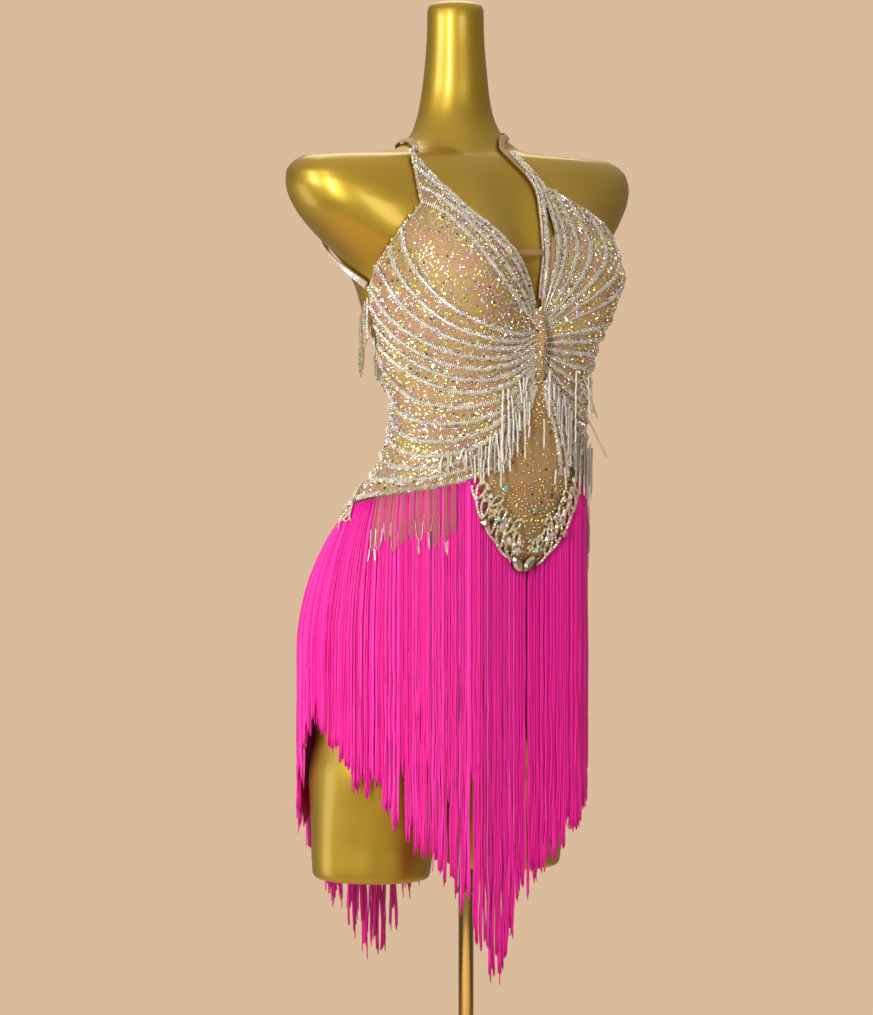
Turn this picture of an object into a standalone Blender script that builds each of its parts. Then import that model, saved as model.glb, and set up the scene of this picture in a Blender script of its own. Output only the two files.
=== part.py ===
"""Latin dance dress worn by its limbless dress form, on a pole and a round base.

The form is a star-shaped surface: a table of level sections gives its radius at any bearing.
Every cloth piece is a patch of that surface lifted outwards, so a piece is named by the bearings
and heights it covers.  Lengths in the tables are centimetres and angles are degrees; bearing 0
faces the front (-Y) and grows towards the wearer's left (+X).
"""
import math

import bpy
import numpy as np

CM = 0.01
AXIS_X, AXIS_Y = -5.5, -5.0        # the neck's axis, measured from the pole
SEAM = 0.05                        # parting between pieces sewn edge to edge
CLEAR = 0.15                       # from the form to the inside of the cloth
CLOTH = 0.12                       # wall of a cloth piece
ROPE_RISE = 0.26                   # a bead rope's crest above its cloth
ROPE_HALF = 0.36                   # half width of a bead rope
ROPE_SHARE = 0.27                  # the most of the way to the next rope that a half may take
ROPE_END, ROPE_GROWTH = 0.45, 4.0  # share of its rise that a rope keeps at its end, and how it grows
FRINGE_THICK = 0.26                # thread fringe and its backing, front to back
FRINGE_BACKING = 1.1               # height of the fringe's backing strip
FRINGE_FILL = 0.72                 # share of its cell that a strand covers
STRAND_POINT = 3.0                 # length over which a thread strand narrows to its end
OVER_ROPES = CLEAR + CLOTH + ROPE_RISE + 0.09       # lift of whatever hangs over the ropes
LACE, LACE_BEAD = 0.17, 0.09       # thickness of the scroll lace, and its raised middle
OVER_BEADS = OVER_ROPES + 0.38     # lift of the bead fringes, which cross the lace
OVER_LACE = OVER_ROPES + LACE + LACE_BEAD + 0.24
HANG_Y = 1.2                       # middle of the hips, the centre of the hanging strands
HANG_FLOOR = 84.0                  # below this height the strands hang clear of the form
POLE_RADIUS = 0.8
BASE_RADIUS, BASE_THICK = 20.0, 0.8
HUB_RADIUS, HUB_HEIGHT = 2.2, 2.6
THIGH_FOOT = 67.2                  # underside of the thigh stumps
CROTCH = 82.0


def table(names, rows):
    """A short table as a dictionary of named columns."""
    return dict(zip(names.split(), np.array(rows, float).T))


FORM = table("height half_width front back power", (
    (82.0, 14.8, -8.4, 11.6, 2.35), (85.0, 15.4, -9.1, 13.1, 2.25), (90.0, 15.8, -9.6, 13.9, 2.15),
    (95.0, 15.5, -10.0, 13.6, 2.1), (100.0, 14.4, -10.7, 12.0, 2.1), (105.0, 12.8, -11.7, 8.6, 2.1),
    (109.0, 11.4, -12.4, 5.2, 2.1), (113.0, 10.8, -12.7, 3.0, 2.1), (117.0, 11.0, -12.7, 2.5, 2.1),
    (121.0, 12.0, -12.4, 3.8, 2.15), (125.0, 12.9, -11.9, 5.4, 2.2), (129.0, 13.8, -11.2, 6.6, 2.25),
    (131.0, 15.4, -10.7, 7.0, 2.25), (133.0, 17.8, -10.0, 7.1, 2.34), (135.0, 19.7, -9.2, 7.1, 2.5),
    (137.0, 20.8, -8.4, 6.9, 2.75), (138.8, 21.2, -7.6, 6.4, 2.8), (140.0, 20.9, -6.9, 6.0, 2.75),
    (140.75, 19.9, -6.3, 5.6, 2.6), (141.15, 18.4, -5.9, 5.35, 2.45), (141.35, 15.2, -5.65, 5.15, 2.3),
    (141.5, 11.4, -5.35, 4.95, 2.2), (141.8, 8.2, -5.0, 4.75, 2.1), (142.4, 6.5, -4.6, 4.55, 2.05),
    (143.4, 5.2, -4.1, 4.25, 2.0), (145.0, 4.25, -3.5, 4.0, 2.0),
    (147.0, 3.65, -3.2, 3.8, 2.0), (149.5, 3.3, -3.0, 3.5, 2.0), (153.0, 3.0, -2.7, 3.2, 2.0),
    (157.0, 2.9, -2.6, 3.1, 2.0)))
FORM_RINGS = (82.0, 84.5, 87.5, 91.0, 95.0, 99.0, 102.5, 105.5, 108.0, 110.5, 113.0, 115.5, 118.0,
              120.5, 123.0, 125.5, 128.0, 130.5, 133.0, 135.5, 138.0, 139.6, 140.7, 141.3, 141.8,
              142.4, 143.4, 145.4, 149.5, 156.3)
FORM_FRONT_STEPS = 7               # columns between bearing 0 and 64, each side
FORM_BACK_STEPS = 9                # columns between bearing 64 and 180, each side
FORM_SPLIT = 64.0
NECK_TOP = ((156.9, 0.82), (157.2, 0.45))          # height, share of the neck's section
BUST_EASE = 0.27                   # how much further the cloth stands off at the bust
SHELF, SHELF_EASE = 141.0, 0.12              # level of the shoulders, and the room left there
BUST = dict(swell=4.6, bearing=37.0, spread=21.0, height=129.2, above=6.0, below=7.4)

THIGH = table("height middle_x middle_y half_width half_depth", (
    (67.9, 8.9, 3.1, 6.0, 6.2), (71.0, 8.8, 3.0, 6.2, 6.5), (74.5, 8.6, 2.7, 6.5, 7.2),
    (78.0, 8.3, 2.2, 6.9, 8.4)))
THIGH_INNER_STEPS = 5

# One row per bead rope or plain line of the right front, from the neckline down to the hip edge.
# Each gives bearing and height at four stations, from the knot out to the armhole or the back.
# The bearings are negative on the wearer's right; the table holds their sizes.
ROPE_NAMES = "rope b0 h0 b1 h1 b2 h2 b3 h3"
RIGHT_FRONT = table(ROPE_NAMES, (
    (1, 4.0, 125.3, 16.5, 130.8, 42, 136.2, 65.0, 141.31),
    (1, 4.8, 125.0, 23.5, 130.8, 40.5, 135.1, 61.8, 139.72),
    (1, 5.4, 124.7, 27.5, 129.8, 38, 133.6, 59.6, 137.8),
    (1, 6, 124.4, 29, 128.3, 39.5, 132.5, 58.2, 136.2),
    (0, 6, 124.0, 31, 126.8, 44, 131.2, 60.3, 135.2), (0, 6, 123.7, 34, 125.3, 53, 129.6, 62.5, 134.6),
    (1, 6, 123.3, 36, 124.1, 59, 128.3, 64.5, 133.8),
    (1, 6, 122.9, 38.5, 123.0, 64.5, 126.5, 70, 132.2),
    (1, 6, 122.4, 38.5, 121.9, 68, 124.6, 79, 130.4), (1, 6, 121.9, 37, 120.8, 69, 122.4, 89, 128.1),
    (1, 6, 121.4, 38, 119.8, 70, 120.9, 92, 126.2), (1, 6, 120.9, 38, 118.7, 69, 119.4, 94, 124.2),
    (1, 6, 120.4, 38, 117.6, 69, 117.9, 97, 122.2), (1, 6, 119.9, 38, 116.4, 76, 116.2, 103, 120.2),
    (1, 6, 119.3, 38, 115.1, 78, 114.3, 110, 118.0), (1, 8, 118.2, 40, 113.8, 76, 112.4, 113, 115.8),
    (1, 10, 117.0, 41, 112.4, 74, 110.9, 115, 113.4), (1, 17, 114.6, 46, 110.9, 80, 109.6, 116, 111.0),
    (1, 21, 112.9, 50, 109.6, 82, 108.3, 117, 108.6), (1, 28, 110.1, 56, 108.0, 86, 106.8, 118, 105.4)))
LEFT_FRONT = table(ROPE_NAMES, (
    (1, 4.4, 125.3, 12.2, 129.2, 20.2, 134.0, 26.0, 137.8),
    (1, 5.0, 125.0, 15, 128.9, 23.8, 134.0, 30, 137.9),
    (1, 5.5, 124.7, 18, 128.5, 27.2, 133.5, 33.8, 137.5),
    (1, 6, 124.4, 20.5, 127.9, 31, 133.0, 38.5, 136.5),
    (1, 6, 124.1, 22.8, 127.3, 37, 132.5, 45.5, 135.4),
    (1, 6, 123.8, 26, 126.7, 43.0, 131.5, 53.0, 134.1),
    (0, 6, 123.65, 28, 126.4, 46.5, 130.9, 58.0, 133.5),
    (1, 6, 123.5, 30, 126.0, 49.5, 130.2, 63, 132.9),
    (0, 6, 123.1, 33, 125.1, 55.0, 128.5, 71.5, 131.7), (1, 6, 122.7, 35, 123.9, 62, 126.3, 81, 130.0),
    (1, 6, 122.2, 36, 122.6, 67, 124.3, 89, 128.1), (1, 6, 121.6, 37, 121.1, 70, 122.2, 92, 126.0),
    (1, 6, 121.0, 38, 119.6, 70, 120.2, 95, 123.8), (1, 6, 120.4, 38, 118.1, 71, 118.3, 100, 121.4),
    (1, 6, 119.8, 38, 116.6, 75, 116.4, 105, 119.6), (1, 6, 119.3, 38, 115.1, 78, 114.3, 110, 118.0),
    (1, 8, 118.2, 40, 113.8, 76, 112.4, 113, 115.8), (1, 10, 117.0, 41, 112.4, 74, 110.9, 115, 113.4),
    (1, 17, 114.6, 46, 110.9, 80, 109.6, 116, 111.0), (1, 21, 112.9, 50, 109.6, 82, 108.3, 117, 108.6),
    (1, 28, 110.1, 56, 108.0, 86, 106.8, 118, 105.4)))
FRONT_COLUMNS = 13

# The yoke under the knot: how far it spreads each side of the middle at each height.
YOKE = table("height spread", (
    (118.4, 4.5), (117.2, 7.2), (115.8, 11.0), (114.4, 15.4), (112.9, 19.4), (111.4, 23.0),
    (110.1, 26.4), (109.2, 31.0), (108.2, 34.5), (107.0, 35.5), (105.8, 32.5), (104.4, 28.0),
    (102.8, 22.0), (101.3, 15.0), (100.1, 8.0), (99.4, 2.0)))
YOKE_COLUMNS = 7
# The low back, from the side seam (0) to the middle of the back (1): its upper and lower edges.
BACK = table("share top foot", (
    (0.0, 118.0, 105.4), (0.12, 115.8, 105.3), (0.3, 113.0, 104.9), (0.5, 110.8, 104.5),
    (0.75, 108.9, 104.0), (1.0, 108.2, 103.8)))
BACK_COLUMNS, BACK_ROWS = 21, 6
BACK_RIDGES, BACK_RISE = (1, 3), 0.16
SIDE_SEAM = 0.6                    # parting at the side seams, in degrees
YOKE_POINT = 38.0                  # bearing where the fringe leaves the fronts for the yoke
# Where the ends of the thread fringe hang, over the whole turn.
HEM = table("bearing height", (
    (-180, 58.4), (-167, 61.5), (-157, 64.5), (-138, 70.9), (-120, 73.6), (-110, 77.5),
    (-100, 82.6), (-95, 83.2), (-82, 79.2), (-71, 77.3), (-62, 74.2), (-52, 71.0), (-42, 68.4),
    (-35, 66.2), (-27, 62.0), (-21, 57.8), (-15, 60.4), (-10, 63.0), (-3, 65.9), (6, 68.8),
    (16, 70.7), (35, 75.4), (50, 76.6), (75, 79.5), (90, 82.4), (98, 83.0), (110, 78.0),
    (120, 74.0), (138, 70.5), (150, 67.0), (161, 63.0), (174, 57.4), (180, 58.4)))
# name, first and last bearing, strands
FRINGES = (
    ("fringe_front_right", -90.0, -0.7, 31), ("fringe_front_left", 0.7, 90.0, 31),
    ("fringe_back_right", -179.6, -90.6, 27), ("fringe_back_left", 90.6, 179.6, 27))
HEM_SCATTER = 1.3
YOKE_SEAM = 0.08                   # the fringe hangs this much lower under the yoke
FRINGE_LEVELS = (99.8, 95.5, 91.0)
BOW = 0.10                         # a strand's lift between levels where the hips curve

# Drops: where each tape runs (bearing, height) and where its strands end (foot).
DROP_NAMES = "bearing height foot"
DROPS = {
    "bead_fringe_right": (table(DROP_NAMES, (
        (-66, 111.0, 109.4), (-51, 111.7, 109.6), (-45, 112.2, 107.6), (-34, 113.7, 107.8),
        (-22, 115.9, 110.2), (-13, 117.9, 112.8))), 12, OVER_BEADS, 0.18, "crystal"),
    "bead_fringe_left": (table(DROP_NAMES, (
        (13, 117.9, 113.8), (22, 115.9, 110.4), (36, 113.4, 108.2), (44, 112.3, 106.4),
        (62, 111.1, 106.0))), 12, OVER_BEADS, 0.18, "crystal"),
    "side_drops_right": (table(DROP_NAMES, (
        (-107, 124.6, 117.6), (-99, 125.8, 119.6), (-92, 127.0, 121.8))), 5, OVER_ROPES, 0.30,
        "nude_mesh"),
    "side_drops_left": (table(DROP_NAMES, (
        (92, 127.0, 121.8), (99, 125.8, 119.6), (107, 124.6, 117.6))), 5, OVER_ROPES, 0.30,
        "nude_mesh"),
    "hip_drops_right": (table(DROP_NAMES, (
        (-93, 107.3, 100.4), (-80, 108.0, 100.9), (-66, 108.5, 101.7), (-53, 108.9, 103.6))),
        8, OVER_ROPES, 0.42, "nude_mesh"),
    "hip_drops_left": (table(DROP_NAMES, (
        (68, 108.5, 100.0), (80, 108.0, 100.6), (93, 107.3, 99.4))), 6, OVER_ROPES, 0.42, "nude_mesh"),
}
DROP_TAPE, DROP_THICK, DROP_SCATTER = 0.55, 0.18, 0.6
DROP_LEVELS = (0.55, 0.15)

# Straps: path (bearing, height), half width at its two ends, lift.
PATH = "bearing height"
STRAPS = {
    "strap_right": (table(PATH, (
        (-66.2, 141.43), (-70, 141.61), (-77, 141.93), (-88, 142.51), (-105, 142.56), (-128, 142.06),
        (-150, 141.66), (-166, 141.43), (-176, 141.32))), 0.28, 0.45, 26),
    "strap_left": (table(PATH, (
        (3.8, 126.5), (6.2, 128.3), (8.6, 129.8), (11.4, 131.7), (13.8, 133.2), (16.2, 134.4),
        (18.8, 135.6), (21.2, 136.6), (23.0, 137.6), (23.3, 138.4), (21.9, 139.3), (19.2, 140.1),
        (17.2, 140.8), (17.2, 141.4), (20.5, 141.9), (28, 142.62), (50, 143.1), (90, 143.19),
        (130, 142.84), (155, 141.88), (170, 141.5), (176, 141.32))), 0.30, 0.45, 38),
    "strap_back": (table(PATH, (
        (-94.6, 128.6), (-101, 129.9), (-108, 131.4), (-120, 134.0), (-138, 137.0), (-158, 138.9),
        (-180, 139.74), (-202, 138.9), (-222, 137.0), (-240, 134.0), (-252, 131.4), (-259, 129.9),
        (-265.4, 128.6))), 0.42, 0.42, 34),
}
STRAP_LIFT, STRAP_THICK = 0.26, 0.14
BRIDGE = dict(height=131.3, right=(-2.85, -12.5), left=(1.2, -12.02), tall=0.55, thick=0.12)

# Scroll lace: the middle line of each band, its half width, steps along it and extra lift.
LACES = {
    "v_lace_right": (table(PATH, (
        (-39, 108.4), (-34.5, 106.7), (-28.5, 104.9), (-21, 103.1), (-13.5, 101.6), (-6.4, 100.5))),
        1.0, 15, 0.05),
    "v_lace_left": (table(PATH, (
        (0.9, 100.4), (8.5, 101.5), (16.5, 103.0), (24, 104.9), (29.5, 106.8), (33.5, 108.9))),
        1.0, 15, 0.05),
    "hip_lace_right": (table(PATH, (
        (-129, 107.3), (-120, 106.8), (-112, 105.8), (-105, 104.7), (-99, 103.6))), 1.0, 11, 0.16),
    "hip_lace_left": (table(PATH, (
        (99, 103.6), (105, 104.7), (112, 105.8), (120, 106.8), (129, 107.3))), 1.0, 11, 0.16),
}
LACE_SCALLOP = 0.22
# Across a lace band: share of the half width, which way it scallops, raised bead.
LACE_ROWS = ((-1.0, -1, 0.0), (-0.36, 0, LACE_BEAD), (0.36, 0, LACE_BEAD), (1.0, 1, 0.0))
# Set stones: bearing, height, half width, half height, rise, sides.
STONES = {
    "leaf_stone_right": (-9.8, 99.8, 0.42, 1.0, 0.42, 6),
    "leaf_stone_left": (-1.2, 99.8, 0.42, 1.0, 0.42, 6),
    "round_stone_right": (-31.6, 104.2, 0.5, 0.5, 0.36, 8),
    "round_stone_left": (20.4, 102.8, 0.5, 0.5, 0.36, 8),
}
KNOT = table("height spread rise", (
    (118.75, 3.0, 0.25), (119.6, 4.3, 0.55), (120.8, 4.6, 0.80), (122.3, 4.2, 0.95),
    (123.8, 4.6, 0.80), (124.9, 4.4, 0.55), (125.6, 2.6, 0.25)))
KNOT_COLUMNS, KNOT_FOLD = 9, 0.14

MATERIALS = {                      # base colour, metallic, roughness
    "gold_form": ((0.46, 0.35, 0.06), 0.85, 0.28),
    "gold_metal": ((0.55, 0.42, 0.14), 1.0, 0.25),
    "nude_mesh": ((0.62, 0.42, 0.24), 0.0, 0.75),
    "crystal": ((0.80, 0.80, 0.74), 0.1, 0.15),
    "pink_thread": ((1.0, 0.02, 0.36), 0.0, 0.45),
}
ORIGIN = np.array((AXIS_X, AXIS_Y, 0.0))
rng = np.random.default_rng(7)


def column(height, name):
    """One column of the form's table at any height, through smooth (Hermite) spans."""
    knots, values = FORM["height"], FORM[name]
    slopes = np.gradient(values, knots)
    i = np.clip(np.searchsorted(knots, height) - 1, 0, len(knots) - 2)
    span = knots[i + 1] - knots[i]
    t = np.clip((height - knots[i]) / span, 0.0, 1.0)
    return ((2 * t**3 - 3 * t**2 + 1) * values[i] + (t**3 - 2 * t**2 + t) * span * slopes[i]
            + (3 * t**2 - 2 * t**3) * values[i + 1] + (t**3 - t**2) * span * slopes[i + 1])


def middle(height):
    """Y of the middle of the form's section."""
    return (column(height, "front") + column(height, "back")) / 2


def radius(bearing, height):
    """Distance from the middle of the section to the form's surface."""
    half_depth = (column(height, "back") - column(height, "front")) / 2
    power = column(height, "power")
    sine, cosine = np.sin(np.radians(bearing)), np.cos(np.radians(bearing))
    reach = ((np.abs(sine) / column(height, "half_width")) ** power
             + (np.abs(cosine) / half_depth) ** power) ** (-1 / power)
    turn = (bearing + 180.0) % 360.0 - 180.0
    above = height - BUST["height"]
    fade = np.exp(-(above / np.where(above > 0, BUST["above"], BUST["below"])) ** 2)
    for side in (-1, 1):
        reach = reach + BUST["swell"] * fade * np.exp(
            -((turn - side * BUST["bearing"]) / BUST["spread"]) ** 2)
    return reach


def skin(bearing, height):
    """Points of the form's surface."""
    bearing, height = np.broadcast_arrays(np.asarray(bearing, float), np.asarray(height, float))
    reach, angle = radius(bearing, height), np.radians(bearing)
    return np.stack((reach * np.sin(angle), middle(height) - reach * np.cos(angle), height), -1)


def outward(bearing, height):
    """Unit normals of the form's surface."""
    bearing, height = np.broadcast_arrays(np.asarray(bearing, float), np.asarray(height, float))
    along = skin(bearing + 0.5, height) - skin(bearing - 0.5, height)
    up = skin(bearing, height + 0.05) - skin(bearing, height - 0.05)
    normal = np.cross(along, up)
    return normal / np.linalg.norm(normal, axis=-1, keepdims=True)


def lifted(bearing, height, lift):
    """Points of the surface moved out by a lift, and a little more over the bust."""
    ease = BUST_EASE * np.exp(-((np.asarray(height, float) - BUST["height"]) / BUST["above"]) ** 2)
    ease = ease + SHELF_EASE * np.exp(-((np.asarray(height, float) - SHELF) / 1.2) ** 2)
    return skin(bearing, height) + outward(bearing, height) * (lift + ease)[..., None]


def girth(bearing, height):
    """Distance from the hips' middle line to the form, at a bearing about that line."""
    bearing, height = np.broadcast_arrays(np.asarray(bearing, float), np.asarray(height, float))
    angle, centre = np.radians(bearing), middle(height)
    low, high = np.zeros(bearing.shape), np.full(bearing.shape, 40.0)
    for _ in range(36):
        test = (low + high) / 2
        x, y = test * np.sin(angle), HANG_Y - test * np.cos(angle) - centre
        inside = np.hypot(x, y) < radius(np.degrees(np.arctan2(x, -y)), height)
        low, high = np.where(inside, test, low), np.where(inside, high, test)
    return (low + high) / 2


HANG_HEIGHTS = np.arange(HANG_FLOOR, 130.0, 0.5)
HANG_BEARINGS = np.arange(-180.0, 181.0, 2.0)
GIRTHS = girth(HANG_BEARINGS[:, None], HANG_HEIGHTS[None, :])


def hang(bearing, top, height):
    """Distance of a plumb strand from the hips' middle line: the widest girth it has passed."""
    turn = (float(bearing) + 180.0) % 360.0 - 180.0
    i = min(int((turn + 180.0) / 2.0), len(HANG_BEARINGS) - 2)
    part = (turn - HANG_BEARINGS[i]) / 2.0
    girths = GIRTHS[i] * (1 - part) + GIRTHS[i + 1] * part
    here = np.interp(height, HANG_HEIGHTS, girths)
    passed = girths[(HANG_HEIGHTS >= height) & (HANG_HEIGHTS <= top)]
    return float(max(here, passed.max(initial=0.0)))


def around(bearing, distance, height):
    """A point at a bearing and distance from the hips' middle line."""
    angle = math.radians(bearing)
    return (distance * math.sin(angle), HANG_Y - distance * math.cos(angle), height)


def about_hips(bearing, height):
    """The bearings of points of the form's surface, taken about the hips' middle line."""
    points = skin(bearing, height)
    turn = np.degrees(np.arctan2(points[..., 0], HANG_Y - points[..., 1]))
    return np.where(np.abs(bearing) >= 180, bearing, turn)


def make_material(name):
    colour, metallic, roughness = MATERIALS[name]
    material = bpy.data.materials.get(name) or bpy.data.materials.new(name)
    material.use_nodes = True
    shader = material.node_tree.nodes["Principled BSDF"]
    shader.inputs["Base Color"].default_value = (*colour, 1.0)
    shader.inputs["Metallic"].default_value = metallic
    shader.inputs["Roughness"].default_value = roughness
    material.diffuse_color = (*colour, 1.0)
    return material


def volume(points, faces):
    total = 0.0
    for face in faces:
        for i in range(1, len(face) - 1):
            total += np.dot(points[face[0]], np.cross(points[face[i]], points[face[i + 1]]))
    return total / 6


def solid(name, points, faces, material):
    """A closed mesh object in metres, its faces turned outwards."""
    points = np.asarray(points, float)
    if volume(points - points.mean(0), faces) < 0:
        faces = [tuple(reversed(face)) for face in faces]
    mesh = bpy.data.meshes.new(name)
    mesh.from_pydata(((points + ORIGIN) * CM).tolist(), [], faces)
    mesh.materials.append(make_material(material))
    thing = bpy.data.objects.new(name, mesh)
    bpy.context.scene.collection.objects.link(thing)
    return thing


def wall(name, outer, inner, material, keep=None):
    """A cloth wall between two equal grids of points; cells not kept are cut through."""
    rows, columns = outer.shape[:2]
    keep = np.ones((rows - 1, columns - 1), bool) if keep is None else keep
    points = np.concatenate((outer.reshape(-1, 3), inner.reshape(-1, 3)))
    back = rows * columns
    faces, edges = [], {}
    for r in range(rows - 1):
        for c in range(columns - 1):
            if keep[r, c]:
                a = r * columns + c
                ring = (a, a + 1, a + columns + 1, a + columns)
                faces += [(ring[0], ring[1], ring[2]), (ring[0], ring[2], ring[3])]
                faces += [(ring[2] + back, ring[1] + back, ring[0] + back),
                          (ring[3] + back, ring[2] + back, ring[0] + back)]
                for i in range(4):
                    edge = (ring[i], ring[(i + 1) % 4])
                    if edges.pop((edge[1], edge[0]), None) is None:
                        edges[edge] = True
    for a, b in edges:
        faces += [(b, a, a + back), (b, a + back, b + back)]
    used = sorted({i for face in faces for i in face})
    renumber = {old: new for new, old in enumerate(used)}
    return solid(name, points[used], [tuple(renumber[i] for i in face) for face in faces], material)


def roped_wall(name, outer, inner, inner_rows, material):
    """A wall whose plain inside has only some of the outside's rows."""
    columns = outer.shape[1]
    points = np.concatenate((outer.reshape(-1, 3), inner.reshape(-1, 3)))
    back = len(outer) * columns
    faces = []
    for r in range(len(outer) - 1):
        for c in range(columns - 1):
            a = r * columns + c
            faces += [(a, a + 1, a + columns + 1), (a, a + columns + 1, a + columns)]
    for r in range(len(inner) - 1):
        for c in range(columns - 1):
            a = back + r * columns + c
            faces += [(a, a + columns + 1, a + 1), (a, a + columns, a + columns + 1)]
    last_out, last_in = (len(outer) - 1) * columns, back + (len(inner) - 1) * columns
    for c in range(columns - 1):
        faces += [(c + 1, c, back + c), (c + 1, back + c, back + c + 1)]
        faces += [(last_out + c, last_out + c + 1, last_in + c + 1),
                  (last_out + c, last_in + c + 1, last_in + c)]
    for c, flip in ((0, False), (columns - 1, True)):
        for i in range(len(inner) - 1):
            start, stop = inner_rows[i], inner_rows[i + 1]
            here, there = back + i * columns + c, back + (i + 1) * columns + c
            fan = [(here, r * columns + c, (r + 1) * columns + c) for r in range(start, stop)]
            fan.append((here, stop * columns + c, there))
            faces += [tuple(reversed(f)) for f in fan] if flip else fan
    return solid(name, points, faces, material)


def spline(rows, count):
    """Bearings and heights along a smooth curve through a path's rows."""
    knots = np.stack((rows["bearing"], rows["height"]), -1)
    steps = np.linalg.norm(np.diff(skin(knots[:, 0], knots[:, 1]), axis=0), axis=1)
    at = np.concatenate(((0,), np.cumsum(steps)))
    want = np.linspace(0, at[-1], count)
    slopes = np.gradient(knots, at, axis=0)
    i = np.clip(np.searchsorted(at, want) - 1, 0, len(at) - 2)
    span = (at[i + 1] - at[i])[:, None]
    t = ((want - at[i]) / (at[i + 1] - at[i]))[:, None]
    return ((2 * t**3 - 3 * t**2 + 1) * knots[i] + (t**3 - 2 * t**2 + t) * span * slopes[i]
            + (3 * t**2 - 2 * t**3) * knots[i + 1] + (t**3 - t**2) * span * slopes[i + 1])


def ribbon_frame(rows, count):
    """Points, normals and sideways directions along a path laid on the form."""
    path = spline(rows, count)
    points, normals = skin(path[:, 0], path[:, 1]), outward(path[:, 0], path[:, 1])
    forward = np.gradient(points, axis=0)
    side = np.cross(normals, forward)
    return points, normals, side / np.linalg.norm(side, axis=1, keepdims=True)


def leg_ring(height):
    """One level of the left thigh stump: its outer side, then its inner side."""
    level = {name: np.interp(height, THIGH["height"], THIGH[name]) for name in THIGH}
    merge = np.clip((CROTCH - height) / (CROTCH - THIGH["height"][-1]), 0.0, 1.0) ** 0.7
    outer = skin(half_bearings(), CROTCH)
    inner_y = np.linspace(outer[-1, 1], outer[0, 1], THIGH_INNER_STEPS + 2)[1:-1]
    split = np.concatenate((outer, [(0.0, y, 0.0) for y in inner_y]))
    offset = split[:, :2] - (level["middle_x"], level["middle_y"])
    angle = np.arctan2(offset[:, 0] / level["half_width"], -offset[:, 1] / level["half_depth"])
    round_x = level["middle_x"] + level["half_width"] * np.sin(angle)
    round_y = level["middle_y"] - level["half_depth"] * np.cos(angle)
    x = split[:, 0] * (1 - merge) + round_x * merge
    y = split[:, 1] * (1 - merge) + round_y * merge
    return np.stack((x, y, np.full(len(x), height)), -1)


def half_bearings():
    """The form's column bearings on its left half, from the front round to the back."""
    front = np.linspace(0, FORM_SPLIT, FORM_FRONT_STEPS + 1)
    return np.concatenate((front, np.linspace(FORM_SPLIT, 180, FORM_BACK_STEPS + 1)[1:]))


def build_form():
    """Torso, neck and shoulder caps as one loft that splits at the crotch into two stumps."""
    left = half_bearings()
    bearings = np.concatenate((left, -left[-2:0:-1]))
    around_count, half = len(bearings), len(left)
    points, faces = [], []
    for height in FORM_RINGS:
        points += list(skin(bearings, height))
    neck = skin(bearings, FORM_RINGS[-1])
    for height, share in NECK_TOP:
        ring = neck * (share, share, 0) + (0, (1 - share) * middle(FORM_RINGS[-1]), height)
        points += list(ring)
    rings = len(FORM_RINGS) + len(NECK_TOP)
    for r in range(rings - 1):
        for c in range(around_count):
            a, b = r * around_count + c, r * around_count + (c + 1) % around_count
            faces += [(a, b, b + around_count), (a, b + around_count, a + around_count)]
    top = len(points)
    points.append(np.array((0, middle(FORM_RINGS[-1]), NECK_TOP[-1][0] + 0.05)))
    last = (rings - 1) * around_count
    faces += [(last + c, last + (c + 1) % around_count, top) for c in range(around_count)]

    seam = list(range(len(points), len(points) + THIGH_INNER_STEPS))
    split = leg_ring(CROTCH)
    points += list(split[half:])
    levels = (80.4, 78.0, 74.5, 71.0, THIGH_FOOT + 0.7, THIGH_FOOT + 0.2)
    for side in (1, -1):
        outer = list(range(half)) if side == 1 else [0] + list(range(around_count - 1, half - 2, -1))
        ring = outer + seam
        for height in levels:
            level = leg_ring(height)
            if height == levels[-1]:
                level = squeeze(level, 0.985)
            fresh = list(range(len(points), len(points) + len(ring)))
            points += list(level * (side, 1, 1))
            faces += band(ring, fresh, side)
            ring = fresh
        foot = squeeze(leg_ring(levels[-2]), 0.90)
        foot[:, 2] = THIGH_FOOT
        fresh = list(range(len(points), len(points) + len(ring)))
        points += list(foot * (side, 1, 1))
        faces += band(ring, fresh, side)
        hub = len(points)
        points.append(foot.mean(0) * (side, 1, 1))
        for c in range(len(fresh)):
            face = (fresh[c], hub, fresh[(c + 1) % len(fresh)])
            faces.append(face if side == 1 else tuple(reversed(face)))
    solid("form_body", points, faces, "gold_form")


def squeeze(ring, share):
    """A level ring drawn in towards its middle."""
    centre = ring.mean(0)
    return centre + (ring - centre) * (share, share, 1)


def band(upper, lower, side):
    """Triangles between two rings of the same count, the second below the first."""
    faces = []
    for c in range(len(upper)):
        n = (c + 1) % len(upper)
        pair = [(upper[c], lower[c], lower[n]), (upper[c], lower[n], upper[n])]
        faces += pair if side == 1 else [tuple(reversed(f)) for f in pair]
    return faces


def lathe(name, profile, sides, material):
    """A turned solid about the pole; the profile runs from the lower to the upper axis end."""
    points, faces = [], []
    for distance, height in profile:
        for k in range(sides):
            angle = 2 * math.pi * k / sides
            points.append((distance * math.cos(angle) - AXIS_X, distance * math.sin(angle) - AXIS_Y, height))
    for r in range(len(profile) - 1):
        for k in range(sides):
            a, b = r * sides + k, r * sides + (k + 1) % sides
            faces += [(a, b, b + sides), (a, b + sides, a + sides)]
    faces.append(tuple(reversed(range(sides))))
    faces.append(tuple(range((len(profile) - 1) * sides, len(profile) * sides)))
    solid(name, points, faces, material)


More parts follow.
